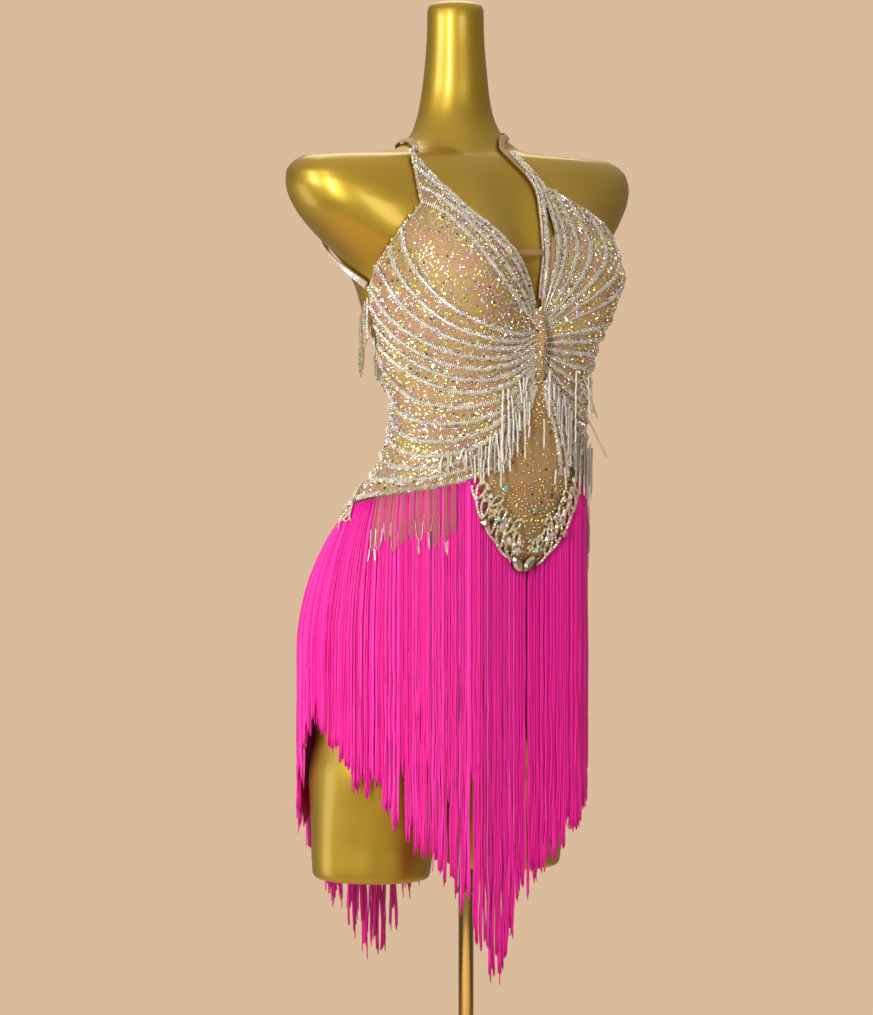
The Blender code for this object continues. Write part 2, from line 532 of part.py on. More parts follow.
def build_stand():
    base = ((BASE_RADIUS - 0.1, 0.0), (BASE_RADIUS, 0.1), (BASE_RADIUS, BASE_THICK - 0.2),
            (BASE_RADIUS - 0.25, BASE_THICK), (HUB_RADIUS, BASE_THICK + 0.05),
            (HUB_RADIUS, HUB_HEIGHT - 0.3), (HUB_RADIUS - 0.3, HUB_HEIGHT))
    lathe("stand_base", base, 32, "gold_metal")
    lathe("stand_pole", ((POLE_RADIUS, HUB_HEIGHT + 0.03), (POLE_RADIUS, THIGH_FOOT - 0.03)), 16,
          "gold_metal")


def rope_curve(ropes, position, stations, side):
    """Bearing and height along the line at a position between two of the table's rows."""
    lines = []
    for row in (int(math.floor(position)), min(int(math.floor(position)) + 1, len(ropes["rope"]) - 1)):
        knots = np.array([(side * ropes[f"b{k}"][row], ropes[f"h{k}"][row]) for k in range(4)])
        share = np.array((0, 1, 2, 3)) / 3
        curve = np.zeros((len(stations), 2))
        for k in range(4):
            weight = np.ones(len(stations))
            for m in range(4):
                if m != k:
                    weight *= (stations - share[m]) / (share[k] - share[m])
            curve += weight[:, None] * knots[k]
        lines.append(curve)
    part = position - math.floor(position)
    return lines[0] * (1 - part) + lines[1] * part


def build_front(name, ropes, side):
    """One front: lines fan out from the knot; each rope is a ridge between two low lines."""
    stations = np.linspace(0, 1, FRONT_COLUMNS)
    last = len(ropes["rope"]) - 1
    outer, inner, inner_rows = [], [], []
    ends = np.minimum(1.0, ROPE_END + ROPE_GROWTH * np.minimum(stations, 1 - stations))
    for row in range(last + 1):
        here = rope_curve(ropes, row, stations, side)
        beside = rope_curve(ropes, row + 1 if row < last else row - 1, stations, side)
        pitch = np.linalg.norm(skin(here[:, 0], here[:, 1]) - skin(beside[:, 0], beside[:, 1]), axis=1)
        reach = np.minimum(ROPE_SHARE, ROPE_HALF / pitch)[:, None]
        inner_rows.append(len(outer))
        if ropes["rope"][row]:
            before = rope_curve(ropes, max(row - 1, 0), stations, side)
            after = rope_curve(ropes, min(row + 1, last), stations, side)
            crest = here
            if row == 0:
                low, crest, high = here, here + (after - here) * reach, here + (after - here) * 2 * reach
            elif row == last:
                low, crest, high = here + (before - here) * 2 * reach, here + (before - here) * reach, here
            else:
                low, high = here + (before - here) * reach, here + (after - here) * reach
            for line, rise in ((low, 0.0), (crest, ROPE_RISE), (high, 0.0)):
                outer.append(lifted(line[:, 0], line[:, 1], CLEAR + CLOTH + rise * ends))
            inner.append(lifted(low[:, 0], low[:, 1], np.full(len(stations), CLEAR)))
            if row == last:
                inner_rows.append(len(outer) - 1)
                inner.append(lifted(high[:, 0], high[:, 1], np.full(len(stations), CLEAR)))
        else:
            outer.append(lifted(here[:, 0], here[:, 1], np.full(len(stations), CLEAR + CLOTH)))
            inner.append(lifted(here[:, 0], here[:, 1], np.full(len(stations), CLEAR)))
    roped_wall(name, np.array(outer), np.array(inner), inner_rows, "nude_mesh")


def build_yoke():
    share = np.linspace(-1, 1, YOKE_COLUMNS)
    bearing = YOKE["spread"][:, None] * share[None, :]
    height = np.broadcast_to(YOKE["height"][:, None], bearing.shape)
    full = np.full(bearing.shape, CLEAR)
    wall("bodice_centre", lifted(bearing, height, full + CLOTH), lifted(bearing, height, full), "nude_mesh")


def build_back():
    """The low back, a plain wall with two beaded ridges."""
    share = np.linspace(0, 1, BACK_ROWS)[:, None]
    turn = np.linspace(0, 1, BACK_COLUMNS)[None, :]
    inwards = 1 - np.abs(2 * turn - 1)
    # the side seam follows the fronts' outer station, which leans back as it drops
    seam_height = BACK["top"][0] + (BACK["foot"][0] - BACK["top"][0]) * share
    lean = np.interp(-seam_height, -RIGHT_FRONT["h3"], RIGHT_FRONT["b3"]) + SIDE_SEAM
    size = lean + (180 - lean) * inwards
    bearing = np.where(turn < 0.5, -size, size - 360)
    top, foot = (np.interp(inwards, BACK["share"], BACK[edge]) for edge in ("top", "foot"))
    height = top + (foot - top) * share
    rise = np.where(np.isin(np.arange(BACK_ROWS), BACK_RIDGES), BACK_RISE, 0.0)[:, None]
    wall("bodice_back", lifted(bearing, height, CLEAR + CLOTH + rise + 0 * bearing),
         lifted(bearing, height, CLEAR + 0 * bearing), "nude_mesh")


def build_knot():
    """The gathered tab that all the ropes run into: folds run along it, its back is plain."""
    share = np.linspace(-1, 1, KNOT_COLUMNS)
    bearing = KNOT["spread"][:, None] * share[None, :]
    height = np.broadcast_to(KNOT["height"][:, None], bearing.shape)
    dome = np.sqrt(np.clip(1 - share**2, 0.06, 1))[None, :] * KNOT["rise"][:, None]
    folds = np.where(np.arange(KNOT_COLUMNS) % 2 == 1, KNOT_FOLD, 0.0)[None, :]
    outer = lifted(bearing, height, CLEAR + CLOTH + dome + folds)
    wall("waist_knot", outer, lifted(bearing, height, np.full(bearing.shape, CLEAR)), "nude_mesh")


def build_straps():
    for name, (rows, start, end, steps) in STRAPS.items():
        points, normals, side = ribbon_frame(rows, steps)
        half = np.linspace(start, end, steps)[:, None]
        edges = [points - side * half, points + side * half]
        outer = np.stack([edge + normals * (STRAP_LIFT + STRAP_THICK) for edge in edges], 1)
        inner = np.stack([edge + normals * STRAP_LIFT for edge in edges], 1)
        wall(name, outer, inner, "nude_mesh")
    right, left = (np.array((*BRIDGE[end], BRIDGE["height"])) for end in ("right", "left"))
    up, deep = np.array((0, 0, BRIDGE["tall"] / 2)), np.array((0, BRIDGE["thick"], 0))
    front = np.array([[right - up, left - up], [right + up, left + up]])
    wall("strap_bridge", front, front + deep, "nude_mesh")


def comb(name, cells, thick, material):
    """A backing strip with a strand drawn down out of each cell, as one solid.

    Each cell gives its two bearings, the strip's upper and lower heights at both and the
    strand's levels: (height, distance, share of width, share of thickness).
    """
    points, faces = [], []

    def corner(bearing, distance, height):
        points.append(around(bearing, distance, height))
        return len(points) - 1

    previous = None
    for cell in cells:
        edges = []
        for bearing, top, foot in zip(cell["bearing"], cell["top"], cell["foot"]):
            near, far = cell["lift"], cell["lift"] + thick
            edges.append((corner(bearing, hang(bearing, top, top) + far, top),
                          corner(bearing, hang(bearing, top, foot) + far, foot),
                          corner(bearing, hang(bearing, top, foot) + near, foot),
                          corner(bearing, hang(bearing, top, top) + near, top)))
        left, right = edges
        if previous is None:
            faces.append((left[0], left[3], left[2], left[1]))
        else:
            for k in range(4):
                n = (k + 1) % 4
                faces.append((previous[k], previous[n], left[n], left[k]))
        for k in (0, 2, 3):
            n = (k + 1) % 4
            faces.append((left[k], left[n], right[n], right[k]))
        previous = right
        ring = (left[1], left[2], right[2], right[1])
        centre = sum(cell["bearing"]) / 2
        width = cell["bearing"][1] - cell["bearing"][0]
        for height, distance, wide, deep in cell["levels"]:
            level = []
            for turn, out in ((-0.5, 1), (-0.5, 0), (0.5, 0), (0.5, 1)):
                level.append(corner(centre + turn * width * wide,
                                    distance + cell["lift"] + thick * (0.5 + (out - 0.5) * deep), height))
            for k in range(4):
                n = (k + 1) % 4
                faces.append((ring[k], ring[n], level[n], level[k]))
            ring = level
        tip = corner(centre, cell["tip"][1] + cell["lift"] + thick / 2, cell["tip"][0])
        for k in range(4):
            faces.append((ring[k], ring[(k + 1) % 4], tip))
    faces.append(previous)
    solid(name, points, split_quads(faces), material)


def split_quads(faces):
    """Every quad as two triangles."""
    return [part for f in faces for part in
            ((f,) if len(f) == 3 else ((f[0], f[1], f[2]), (f[0], f[2], f[3])))]


def fringe_root():
    """Bearings about the hips and heights of the line that the fringe hangs from."""
    edge = rope_curve(RIGHT_FRONT, len(RIGHT_FRONT["rope"]) - 1, np.linspace(1, 0, FRONT_COLUMNS), -1)
    edge = edge[edge[:, 0] < -YOKE_POINT]
    lower = YOKE["height"] <= YOKE["height"][np.argmax(YOKE["spread"])]
    yoke = np.stack((-YOKE["spread"][lower] - SIDE_SEAM, YOKE["height"][lower]), -1)
    seam = edge[0, 0]
    back = np.stack((-180 + (180 + seam) * (1 - BACK["share"]), BACK["foot"]), -1)[::-1]
    right = np.concatenate((back, edge[1:], yoke))
    turn = about_hips(right[:, 0], right[:, 1])
    turn = np.concatenate((turn, (0.0,), -turn[::-1]))
    height = np.concatenate((right[:, 1], (YOKE["height"][-1] - SEAM,), right[::-1, 1]))
    return turn, height - SEAM - np.where(np.abs(turn) < YOKE_POINT, YOKE_SEAM, 0.0)


def build_fringes():
    """The thread fringe: it lies on the hips, then hangs plumb from their widest part."""
    for name, first, last, count in FRINGES:
        pitch = (last - first) / count
        cells = []
        for k in range(count):
            left = first + pitch * (k + (1 - FRINGE_FILL) / 2)
            pair = (left, left + pitch * FRINGE_FILL)
            top = [float(np.interp(b, *ROOT)) for b in pair]
            foot = [t - FRINGE_BACKING for t in top]
            centre = sum(pair) / 2
            end = float(np.interp(centre, HEM["bearing"], HEM["height"])) + rng.uniform(-1, 1) * HEM_SCATTER
            levels = [(h, hang(centre, max(top), h) + BOW, 0.96, 1.0) for h in FRINGE_LEVELS
                      if h < min(foot) - 1.2]
            plumb = hang(centre, max(top), HANG_FLOOR)
            levels.append((end + STRAND_POINT, plumb, 0.80, 0.9))
            cells.append(dict(bearing=pair, top=top, foot=foot, lift=CLEAR, levels=levels, tip=(end, plumb)))
        comb(name, cells, FRINGE_THICK, "pink_thread")


def build_drops():
    """Bead strands and mesh drops, each row hanging from its own tape over the ropes."""
    for name, (rows, count, lift, width, material) in DROPS.items():
        turn = about_hips(rows["bearing"], rows["height"])
        pitch = (turn[-1] - turn[0]) / count
        cells = []
        for k in range(count):
            centre = turn[0] + pitch * (k + 0.5)
            top = float(np.interp(centre, turn, rows["height"]))
            half = math.degrees(width / 2 / hang(centre, top, top))
            pair = (centre - half, centre + half)
            tops = [float(np.interp(b, turn, rows["height"])) for b in pair]
            feet = [t - DROP_TAPE for t in tops]
            end = float(np.interp(centre, turn, rows["foot"])) + rng.uniform(-1, 1) * DROP_SCATTER
            levels = [(h, hang(centre, max(tops), h), 1.0, 1.0) for h in
                      (end + (min(feet) - end) * share for share in DROP_LEVELS)]
            cells.append(dict(bearing=pair, top=tops, foot=feet, lift=lift, levels=levels,
                              tip=(end, hang(centre, max(tops), end))))
        comb(name, cells, DROP_THICK, material)


def over_fringe(turn, height, lift):
    """A point over the fringe's or the yoke's outside, at a bearing about the hips."""
    top = max(float(np.interp(turn, *ROOT)), height)
    return around(turn, hang(turn, top, height) + lift, height)


def build_laces():
    """Scroll lace bands: cells cut through along the middle, scalloped along both sides."""
    for name, (rows, half, steps, ease) in LACES.items():
        path = spline(rows, steps)
        turn = about_hips(path[:, 0], path[:, 1])
        girths = [hang(t, h, h) for t, h in zip(turn, path[:, 1])]
        flat = np.stack((np.radians(turn) * np.mean(girths), path[:, 1]), -1)
        forward = np.gradient(flat, axis=0)
        forward /= np.linalg.norm(forward, axis=1, keepdims=True)
        side = np.stack((-forward[:, 1], forward[:, 0]), -1)
        wave = np.where(np.arange(steps) % 2 == 0, 0.0, LACE_SCALLOP)
        outer, inner = [], []
        for share, scallop, bead in LACE_ROWS:
            line = flat + side * (share * half + scallop * wave)[:, None]
            places = list(zip(np.degrees(line[:, 0] / np.mean(girths)), line[:, 1]))
            under = OVER_ROPES + ease
            outer.append([over_fringe(turn, height, under + LACE + bead) for turn, height in places])
            inner.append([over_fringe(turn, height, under) for turn, height in places])
        keep = np.ones((3, steps - 1), bool)
        keep[1, 1:-1:2] = False
        wall(name, np.array(outer), np.array(inner), "crystal", keep)


def build_stones():
    """Cut stones: a girdle, a smaller table above it and a flat back."""
    for name, (bearing, height, half_width, half_height, rise, sides) in STONES.items():
        turn = float(about_hips(bearing, height))
        point = np.array(over_fringe(turn, height, OVER_LACE))
        below = np.array(over_fringe(turn, height - half_height, OVER_LACE))
        up = (point - below) / np.linalg.norm(point - below)
        across = np.array((math.cos(math.radians(turn)), math.sin(math.radians(turn)), 0.0))
        normal = np.cross(across, up)
        points, faces = [], []
        for share, lift in ((0.92, 0.0), (1.0, rise * 0.35), (0.5, rise)):
            for k in range(sides):
                angle = 2 * math.pi * (k + 0.5 * (sides == 8)) / sides + math.pi / 2
                points.append(point + across * half_width * share * math.cos(angle)
                              + up * half_height * share * math.sin(angle) + normal * lift)
        for ring in range(2):
            for k in range(sides):
                a, b = ring * sides + k, ring * sides + (k + 1) % sides
                faces += [(a, b, b + sides), (a, b + sides, a + sides)]
        faces.append(tuple(reversed(range(sides))))
        faces.append(tuple(range(2 * sides, 3 * sides)))
        solid(name, points, faces, "crystal")


for old in list(bpy.data.objects):
    bpy.data.objects.remove(old, do_unlink=True)
ROOT = fringe_root()
build_form()
build_stand()
build_front("bodice_front_right", RIGHT_FRONT, -1)
build_front("bodice_front_left", LEFT_FRONT, 1)
build_yoke()
build_back()
build_knot()
build_straps()
build_fringes()
build_drops()
build_laces()
build_stones()
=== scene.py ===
"""Looks of a latin dance dress on its limbless dress form.

Lengths in the tables are centimetres from the neck's axis and angles are degrees.  Bearing 0 faces
the front (-Y) and grows towards the wearer's left (+X).  The form is a star-shaped surface, and
every cloth piece, rope and stone is placed on it by a bearing, a height and a lift.
"""
import math

import bpy
import numpy as np
from bpy.props import FloatProperty, FloatVectorProperty, IntProperty
from mathutils import Matrix, Vector


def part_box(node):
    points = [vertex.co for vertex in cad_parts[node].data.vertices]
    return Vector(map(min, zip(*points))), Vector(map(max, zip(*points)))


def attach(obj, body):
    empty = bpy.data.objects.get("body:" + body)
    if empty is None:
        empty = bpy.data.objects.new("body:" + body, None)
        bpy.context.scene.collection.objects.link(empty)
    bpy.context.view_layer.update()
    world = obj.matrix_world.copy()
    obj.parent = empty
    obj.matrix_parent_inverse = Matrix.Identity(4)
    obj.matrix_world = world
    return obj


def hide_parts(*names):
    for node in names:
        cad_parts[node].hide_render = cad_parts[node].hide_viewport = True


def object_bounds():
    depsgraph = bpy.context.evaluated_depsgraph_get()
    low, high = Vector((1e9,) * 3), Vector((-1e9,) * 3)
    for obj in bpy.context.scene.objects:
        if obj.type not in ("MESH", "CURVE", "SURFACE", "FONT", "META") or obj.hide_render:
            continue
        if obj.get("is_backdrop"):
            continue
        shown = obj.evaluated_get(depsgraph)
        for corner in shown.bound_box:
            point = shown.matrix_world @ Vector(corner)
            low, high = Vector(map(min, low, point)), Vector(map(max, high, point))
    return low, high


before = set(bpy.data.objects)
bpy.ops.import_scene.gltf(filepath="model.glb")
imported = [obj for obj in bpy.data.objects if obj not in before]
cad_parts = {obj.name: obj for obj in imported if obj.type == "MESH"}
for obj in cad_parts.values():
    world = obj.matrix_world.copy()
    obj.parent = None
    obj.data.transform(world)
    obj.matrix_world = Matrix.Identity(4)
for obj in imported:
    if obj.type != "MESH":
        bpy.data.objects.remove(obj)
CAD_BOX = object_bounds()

bl_info = {
    "name": "Latin dance dress",
    "version": (1, 0, 0),
    "blender": (4, 5, 0),
    "location": "3D View > Sidebar > Dress",
    "description": "Builds a beaded dance dress with a thread fringe on a dress form",
    "category": "Add Mesh",
}

CM = 0.01
AXIS = np.array((-5.5, -5.0, 0.0))  # the neck's axis, measured from the pole
CLEAR = 0.15  # from the form to the inside of the cloth
WALL = 0.10  # wall of a cloth piece
OVER_CLOTH = CLEAR + WALL
OVER_ROPES = 0.62  # lift of whatever hangs over the ropes
OVER_BEADS = 1.0  # lift of the bead fringes
OVER_LACE = 1.12  # lift of the set stones
HIPS_Y = 1.2  # middle of the hips, the centre of the hanging threads
HIPS_FLOOR = 84.0  # below this height everything hangs clear of the form
SIDE_SEAM = 0.6  # parting at the side seams, in degrees
YOKE_POINT = 38.0  # bearing where the fringe leaves the fronts for the yoke
SEAM = 0.05  # from the bodice's lower edge down to the fringe's head


def table(names, rows):
    """A short table as a dictionary of named columns."""
    return dict(zip(names.split(), np.array(rows, float).T))


def mirrored(rows):
    """The same line on the other side of the body, from its other end."""
    return {name: values[::-1] * (-1 if name == "bearing" else 1) for name, values in rows.items()}


# -------- the form's level sections
FORM = table("height half_width front back power", (
    (82.0, 14.8, -8.4, 11.6, 2.35), (85.0, 15.4, -9.1, 13.1, 2.25), (90.0, 15.8, -9.6, 13.9, 2.15),
    (95.0, 15.5, -10.0, 13.6, 2.1), (100.0, 14.4, -10.7, 12.0, 2.1), (105.0, 12.8, -11.7, 8.6, 2.1),
    (109.0, 11.4, -12.4, 5.2, 2.1), (113.0, 10.8, -12.7, 3.0, 2.1), (117.0, 11.0, -12.7, 2.5, 2.1),
    (121.0, 12.0, -12.4, 3.8, 2.15), (125.0, 12.9, -11.9, 5.4, 2.2), (129.0, 13.8, -11.2, 6.6, 2.25),
    (131.0, 15.4, -10.7, 7.0, 2.25), (133.0, 17.8, -10.0, 7.1, 2.34), (135.0, 19.7, -9.2, 7.1, 2.5),
    (137.0, 20.8, -8.4, 6.9, 2.75), (138.8, 21.2, -7.6, 6.4, 2.8), (140.0, 20.9, -6.9, 6.0, 2.75),
    (140.75, 19.9, -6.3, 5.6, 2.6), (141.15, 18.4, -5.9, 5.35, 2.45), (141.35, 15.2, -5.65, 5.15, 2.3),
    (141.5, 11.4, -5.35, 4.95, 2.2), (141.8, 8.2, -5.0, 4.75, 2.1), (142.4, 6.5, -4.6, 4.55, 2.05),
    (143.4, 5.2, -4.1, 4.25, 2.0), (145.0, 4.25, -3.5, 4.0, 2.0),
    (147.0, 3.65, -3.2, 3.8, 2.0), (149.5, 3.3, -3.0, 3.5, 2.0), (153.0, 3.0, -2.7, 3.2, 2.0),
    (157.0, 2.9, -2.6, 3.1, 2.0)))
BUST = dict(swell=4.6, bearing=37.0, spread=21.0, height=129.2, above=6.0, below=7.4)
BUST_EASE = 0.27
SHELF, SHELF_EASE = 141.0, 0.12  # level of the shoulders, and the room left there
THIGH = table("height middle_x middle_y half_width half_depth", (
    (67.9, 8.9, 3.1, 6.0, 6.2), (71.0, 8.8, 3.0, 6.2, 6.5), (74.5, 8.6, 2.7, 6.5, 7.2),
    (78.0, 8.3, 2.2, 6.9, 8.4)))
CROTCH, THIGH_FOOT = 82.0, 67.2

# -------- the dress
# One row per bead rope or plain line of a front, from the neckline down to the hip edge, with its
# bearing and height at four stations, from the knot out to the armhole or the back.
ROPE_NAMES = "rope b0 h0 b1 h1 b2 h2 b3 h3"
LOW_ROWS = (  # the lowest rows, the same on both fronts
    (1, 6, 119.3, 38, 115.1, 78, 114.3, 110, 118.0), (1, 8, 118.2, 40, 113.8, 76, 112.4, 113, 115.8),
    (1, 10, 117.0, 41, 112.4, 74, 110.9, 115, 113.4), (1, 17, 114.6, 46, 110.9, 80, 109.6, 116, 111.0),
    (1, 21, 112.9, 50, 109.6, 82, 108.3, 117, 108.6), (1, 28, 110.1, 56, 108.0, 86, 106.8, 118, 105.4))
RIGHT_FRONT = table(ROPE_NAMES, (
    (1, 4.0, 125.3, 16.5, 130.8, 42, 136.2, 65.0, 141.31),
    (1, 4.8, 125.0, 23.5, 130.8, 40.5, 135.1, 61.8, 139.72),
    (1, 5.4, 124.7, 27.5, 129.8, 38, 133.6, 59.6, 137.8),
    (1, 6, 124.4, 29, 128.3, 39.5, 132.5, 58.2, 136.2),
    (0, 6, 124.0, 31, 126.8, 44, 131.2, 60.3, 135.2), (0, 6, 123.7, 34, 125.3, 53, 129.6, 62.5, 134.6),
    (1, 6, 123.3, 36, 124.1, 59, 128.3, 64.5, 133.8),
    (1, 6, 122.9, 38.5, 123.0, 64.5, 126.5, 70, 132.2),
    (1, 6, 122.4, 38.5, 121.9, 68, 124.6, 79, 130.4), (1, 6, 121.9, 37, 120.8, 69, 122.4, 89, 128.1),
    (1, 6, 121.4, 38, 119.8, 70, 120.9, 92, 126.2), (1, 6, 120.9, 38, 118.7, 69, 119.4, 94, 124.2),
    (1, 6, 120.4, 38, 117.6, 69, 117.9, 97, 122.2), (1, 6, 119.9, 38, 116.4, 76, 116.2, 103, 120.2),
    *LOW_ROWS))
LEFT_FRONT = table(ROPE_NAMES, (
    (1, 4.4, 125.3, 12.2, 129.2, 20.2, 134.0, 26.0, 137.8),
    (1, 5.0, 125.0, 15, 128.9, 23.8, 134.0, 30, 137.9),
    (1, 5.5, 124.7, 18, 128.5, 27.2, 133.5, 33.8, 137.5),
    (1, 6, 124.4, 20.5, 127.9, 31, 133.0, 38.5, 136.5),
    (1, 6, 124.1, 22.8, 127.3, 37, 132.5, 45.5, 135.4),
    (1, 6, 123.8, 26, 126.7, 43.0, 131.5, 53.0, 134.1),
    (0, 6, 123.65, 28, 126.4, 46.5, 130.9, 58.0, 133.5),
    (1, 6, 123.5, 30, 126.0, 49.5, 130.2, 63, 132.9),
    (0, 6, 123.1, 33, 125.1, 55.0, 128.5, 71.5, 131.7), (1, 6, 122.7, 35, 123.9, 62, 126.3, 81, 130.0),
    (1, 6, 122.2, 36, 122.6, 67, 124.3, 89, 128.1), (1, 6, 121.6, 37, 121.1, 70, 122.2, 92, 126.0),
    (1, 6, 121.0, 38, 119.6, 70, 120.2, 95, 123.8), (1, 6, 120.4, 38, 118.1, 71, 118.3, 100, 121.4),
    (1, 6, 119.8, 38, 116.6, 75, 116.4, 105, 119.6), *LOW_ROWS))
FRONTS = {"right": (RIGHT_FRONT, -1), "left": (LEFT_FRONT, 1)}  # lines, sign of their bearings

YOKE = table("height spread", (  # half of its width, as a bearing
    (118.4, 4.5), (117.2, 7.2), (115.8, 11.0), (114.4, 15.4), (112.9, 19.4), (111.4, 23.0),
    (110.1, 26.4), (109.2, 31.0), (108.2, 34.5), (107.0, 35.5), (105.8, 32.5), (104.4, 28.0),
    (102.8, 22.0), (101.3, 15.0), (100.1, 8.0), (99.4, 2.0)))
BACK = table("share top foot", (  # share of the way from a side seam to the middle
    (0.0, 118.0, 105.4), (0.12, 115.8, 105.3), (0.3, 113.0, 104.9), (0.5, 110.8, 104.5),
    (0.75, 108.9, 104.0), (1.0, 108.2, 103.8)))
KNOT = table("height spread rise", (  # half of its width, and its rise over the cloth
    (118.75, 3.0, 0.25), (119.6, 4.3, 0.55), (120.8, 4.6, 0.80), (122.3, 4.2, 0.95),
    (123.8, 4.6, 0.80), (124.9, 4.4, 0.55), (125.6, 2.6, 0.25)))
PATH = "bearing height"
HEM = table(PATH, (  # the threads' ends
    (-180, 58.4), (-167, 61.5), (-157, 64.5), (-138, 70.9), (-120, 73.6), (-110, 77.5),
    (-100, 84.0), (-95, 84.2), (-82, 79.6), (-71, 77.3), (-62, 74.2), (-52, 71.0), (-42, 68.4),
    (-35, 66.2), (-27, 62.0), (-21, 57.8), (-15, 60.4), (-10, 63.0), (-3, 65.9), (6, 68.8),
    (16, 70.7), (35, 75.4), (50, 76.6), (75, 79.5), (90, 82.4), (98, 83.0), (110, 78.0),
    (120, 74.0), (138, 70.5), (150, 67.0), (161, 63.0), (174, 57.4), (180, 58.4)))
STRAPS = {  # path, half width at its two ends, steps from its start that carry stone chains
    "strap_right": (table(PATH, (
        (-66.2, 141.43), (-70, 141.61), (-77, 141.93), (-88, 142.51), (-105, 142.56), (-128, 142.06),
        (-150, 141.66), (-166, 141.43), (-176, 141.32))), 0.28, 0.45, 14),
    "strap_left": (table(PATH, (
        (3.8, 126.5), (6.2, 128.3), (8.6, 129.8), (11.4, 131.7), (13.8, 133.2), (16.2, 134.4),
        (18.8, 135.6), (21.2, 136.6), (23.0, 137.6), (23.3, 138.4), (21.9, 139.3), (19.2, 140.1),
        (17.2, 140.8), (17.2, 141.4), (20.5, 141.9), (28, 142.62), (50, 143.1), (90, 143.19),
        (130, 142.84), (155, 141.88), (170, 141.5), (176, 141.32))), 0.30, 0.45, 62),
    "strap_back": (table(PATH, (
        (-91.6, 128.0), (-94.6, 128.6), (-101, 129.9), (-108, 131.4), (-120, 134.0), (-138, 137.0),
        (-158, 138.9), (-180, 139.74), (-202, 138.9), (-222, 137.0), (-240, 134.0), (-252, 131.4),
        (-259, 129.9), (-265.4, 128.6), (-268.4, 128.0))), 0.48, 0.48, 140),
}
# The bar across the neckline: its height, its ends (x, y), its width and its thickness.
BRIDGE = dict(height=131.3, right=(-2.85, -12.5), left=(1.2, -12.02), tall=0.55, thick=0.12)
HIP_LACE = table(PATH, ((-129, 107.3), (-120, 106.8), (-112, 105.8), (-105, 104.7), (-99, 103.6)))
LACES = {  # the middle line of each band, extra lift
    "v_lace_right": (table(PATH, (
        (-39, 108.4), (-34.5, 106.7), (-28.5, 104.9), (-21, 103.1), (-13.5, 101.6), (-6.4, 100.5))), 0.05),
    "v_lace_left": (table(PATH, (
        (0.9, 100.4), (8.5, 101.5), (16.5, 103.0), (24, 104.9), (29.5, 106.8), (33.5, 108.9))), 0.05),
    "hip_lace_right": (HIP_LACE, 0.16), "hip_lace_left": (mirrored(HIP_LACE), 0.16),
}
DROP_PATH = "bearing height foot"
BEAD_FRINGES = {
    "bead_fringe_right": table(DROP_PATH, (
        (-66, 111.0, 109.4), (-51, 111.7, 109.6), (-45, 112.2, 107.6), (-34, 113.7, 107.8),
        (-22, 115.9, 110.2), (-13, 117.9, 112.8))),
    "bead_fringe_left": table(DROP_PATH, (
        (13, 117.9, 113.8), (22, 115.9, 110.4), (36, 113.4, 108.2), (44, 112.3, 106.4),
        (62, 111.1, 106.0))),
}
SIDE_DROPS = table(DROP_PATH, ((-107, 124.6, 117.6), (-99, 125.8, 119.6), (-92, 127.0, 121.8)))
MESH_DROPS = {  # path, strips
    "side_drops_right": (SIDE_DROPS, 5), "side_drops_left": (mirrored(SIDE_DROPS), 5),
    "hip_drops_right": (table(DROP_PATH, (
        (-93, 107.3, 100.4), (-80, 108.0, 100.9), (-66, 108.5, 101.7), (-53, 108.9, 103.6))), 8),
    "hip_drops_left": (table(DROP_PATH, (
        (68, 108.5, 100.0), (80, 108.0, 100.6), (93, 107.3, 99.4))), 6),
}
LACE_CRYSTALS = table("bearing height radius red green blue", (  # the lace's coloured stones
    (-24.1, 107.6, 0.36, 0.36, 0.74, 0.68), (-26.6, 108.5, 0.22, 0.84, 0.78, 0.24),
    (-42.1, 109.1, 0.26, 0.84, 0.80, 0.28), (13.1, 107.4, 0.28, 0.70, 0.80, 0.24),
    (20.9, 105.8, 0.34, 0.28, 0.02, 0.05), (-1.4, 105.3, 0.22, 0.36, 0.74, 0.68),
    (-24.5, 104.5, 0.24, 0.40, 0.78, 0.70), (-1.7, 102.2, 0.24, 0.40, 0.76, 0.66),
    (-12.2, 103.3, 0.24, 0.84, 0.80, 0.28), (4.8, 104.2, 0.24, 0.84, 0.72, 0.22),
    (-5.7, 101.1, 0.17, 0.88, 0.30, 0.48), (9.6, 102.9, 0.22, 0.76, 0.60, 0.90)))
SET_STONES = {  # bearing, height, lean in radians, tint
    "leaf_stone_right": (-9.0, 99.9, 0.66, (0.62, 0.60, 0.52)),
    "leaf_stone_left": (-2.0, 99.9, -0.66, (0.62, 0.60, 0.52)),
    "round_stone_right": (-31.6, 104.2, 0.0, (0.88, 0.68, 0.72)),
    "round_stone_left": (20.4, 102.8, 0.0, (0.92, 0.36, 0.54)),
}

# Ropes that follow the yoke's edges down from the knot, over the seam.
EDGE_ROPES = {
    "right": (
        table(PATH, ((-5.2, 117.9), (-9.5, 116.3), (-15.4, 114.8), (-20.6, 113.1), (-23.9, 111.0),
                     (-27.5, 109.6), (-33, 109.2))),
        table(PATH, ((-6.4, 118.6), (-12.4, 116.9), (-20.5, 115.3), (-26.6, 113.5), (-31.6, 111.8),
                     (-38, 110.9)))),
    "left": (
        table(PATH, ((3.2, 117.9), (7.0, 115.6), (12.4, 113.9), (16.6, 112.2), (19.2, 110.4),
                     (20.0, 108.8))),
        table(PATH, ((4.6, 118.4), (9.6, 116.2), (16.4, 114.4), (22.4, 112.4), (26.0, 110.4),
                     (27.6, 108.6))),
        table(PATH, ((6.4, 118.8), (13.2, 117.2), (22.4, 115.4), (30.4, 113.2), (34.6, 111.0),
                     (37.0, 109.2)))),
}
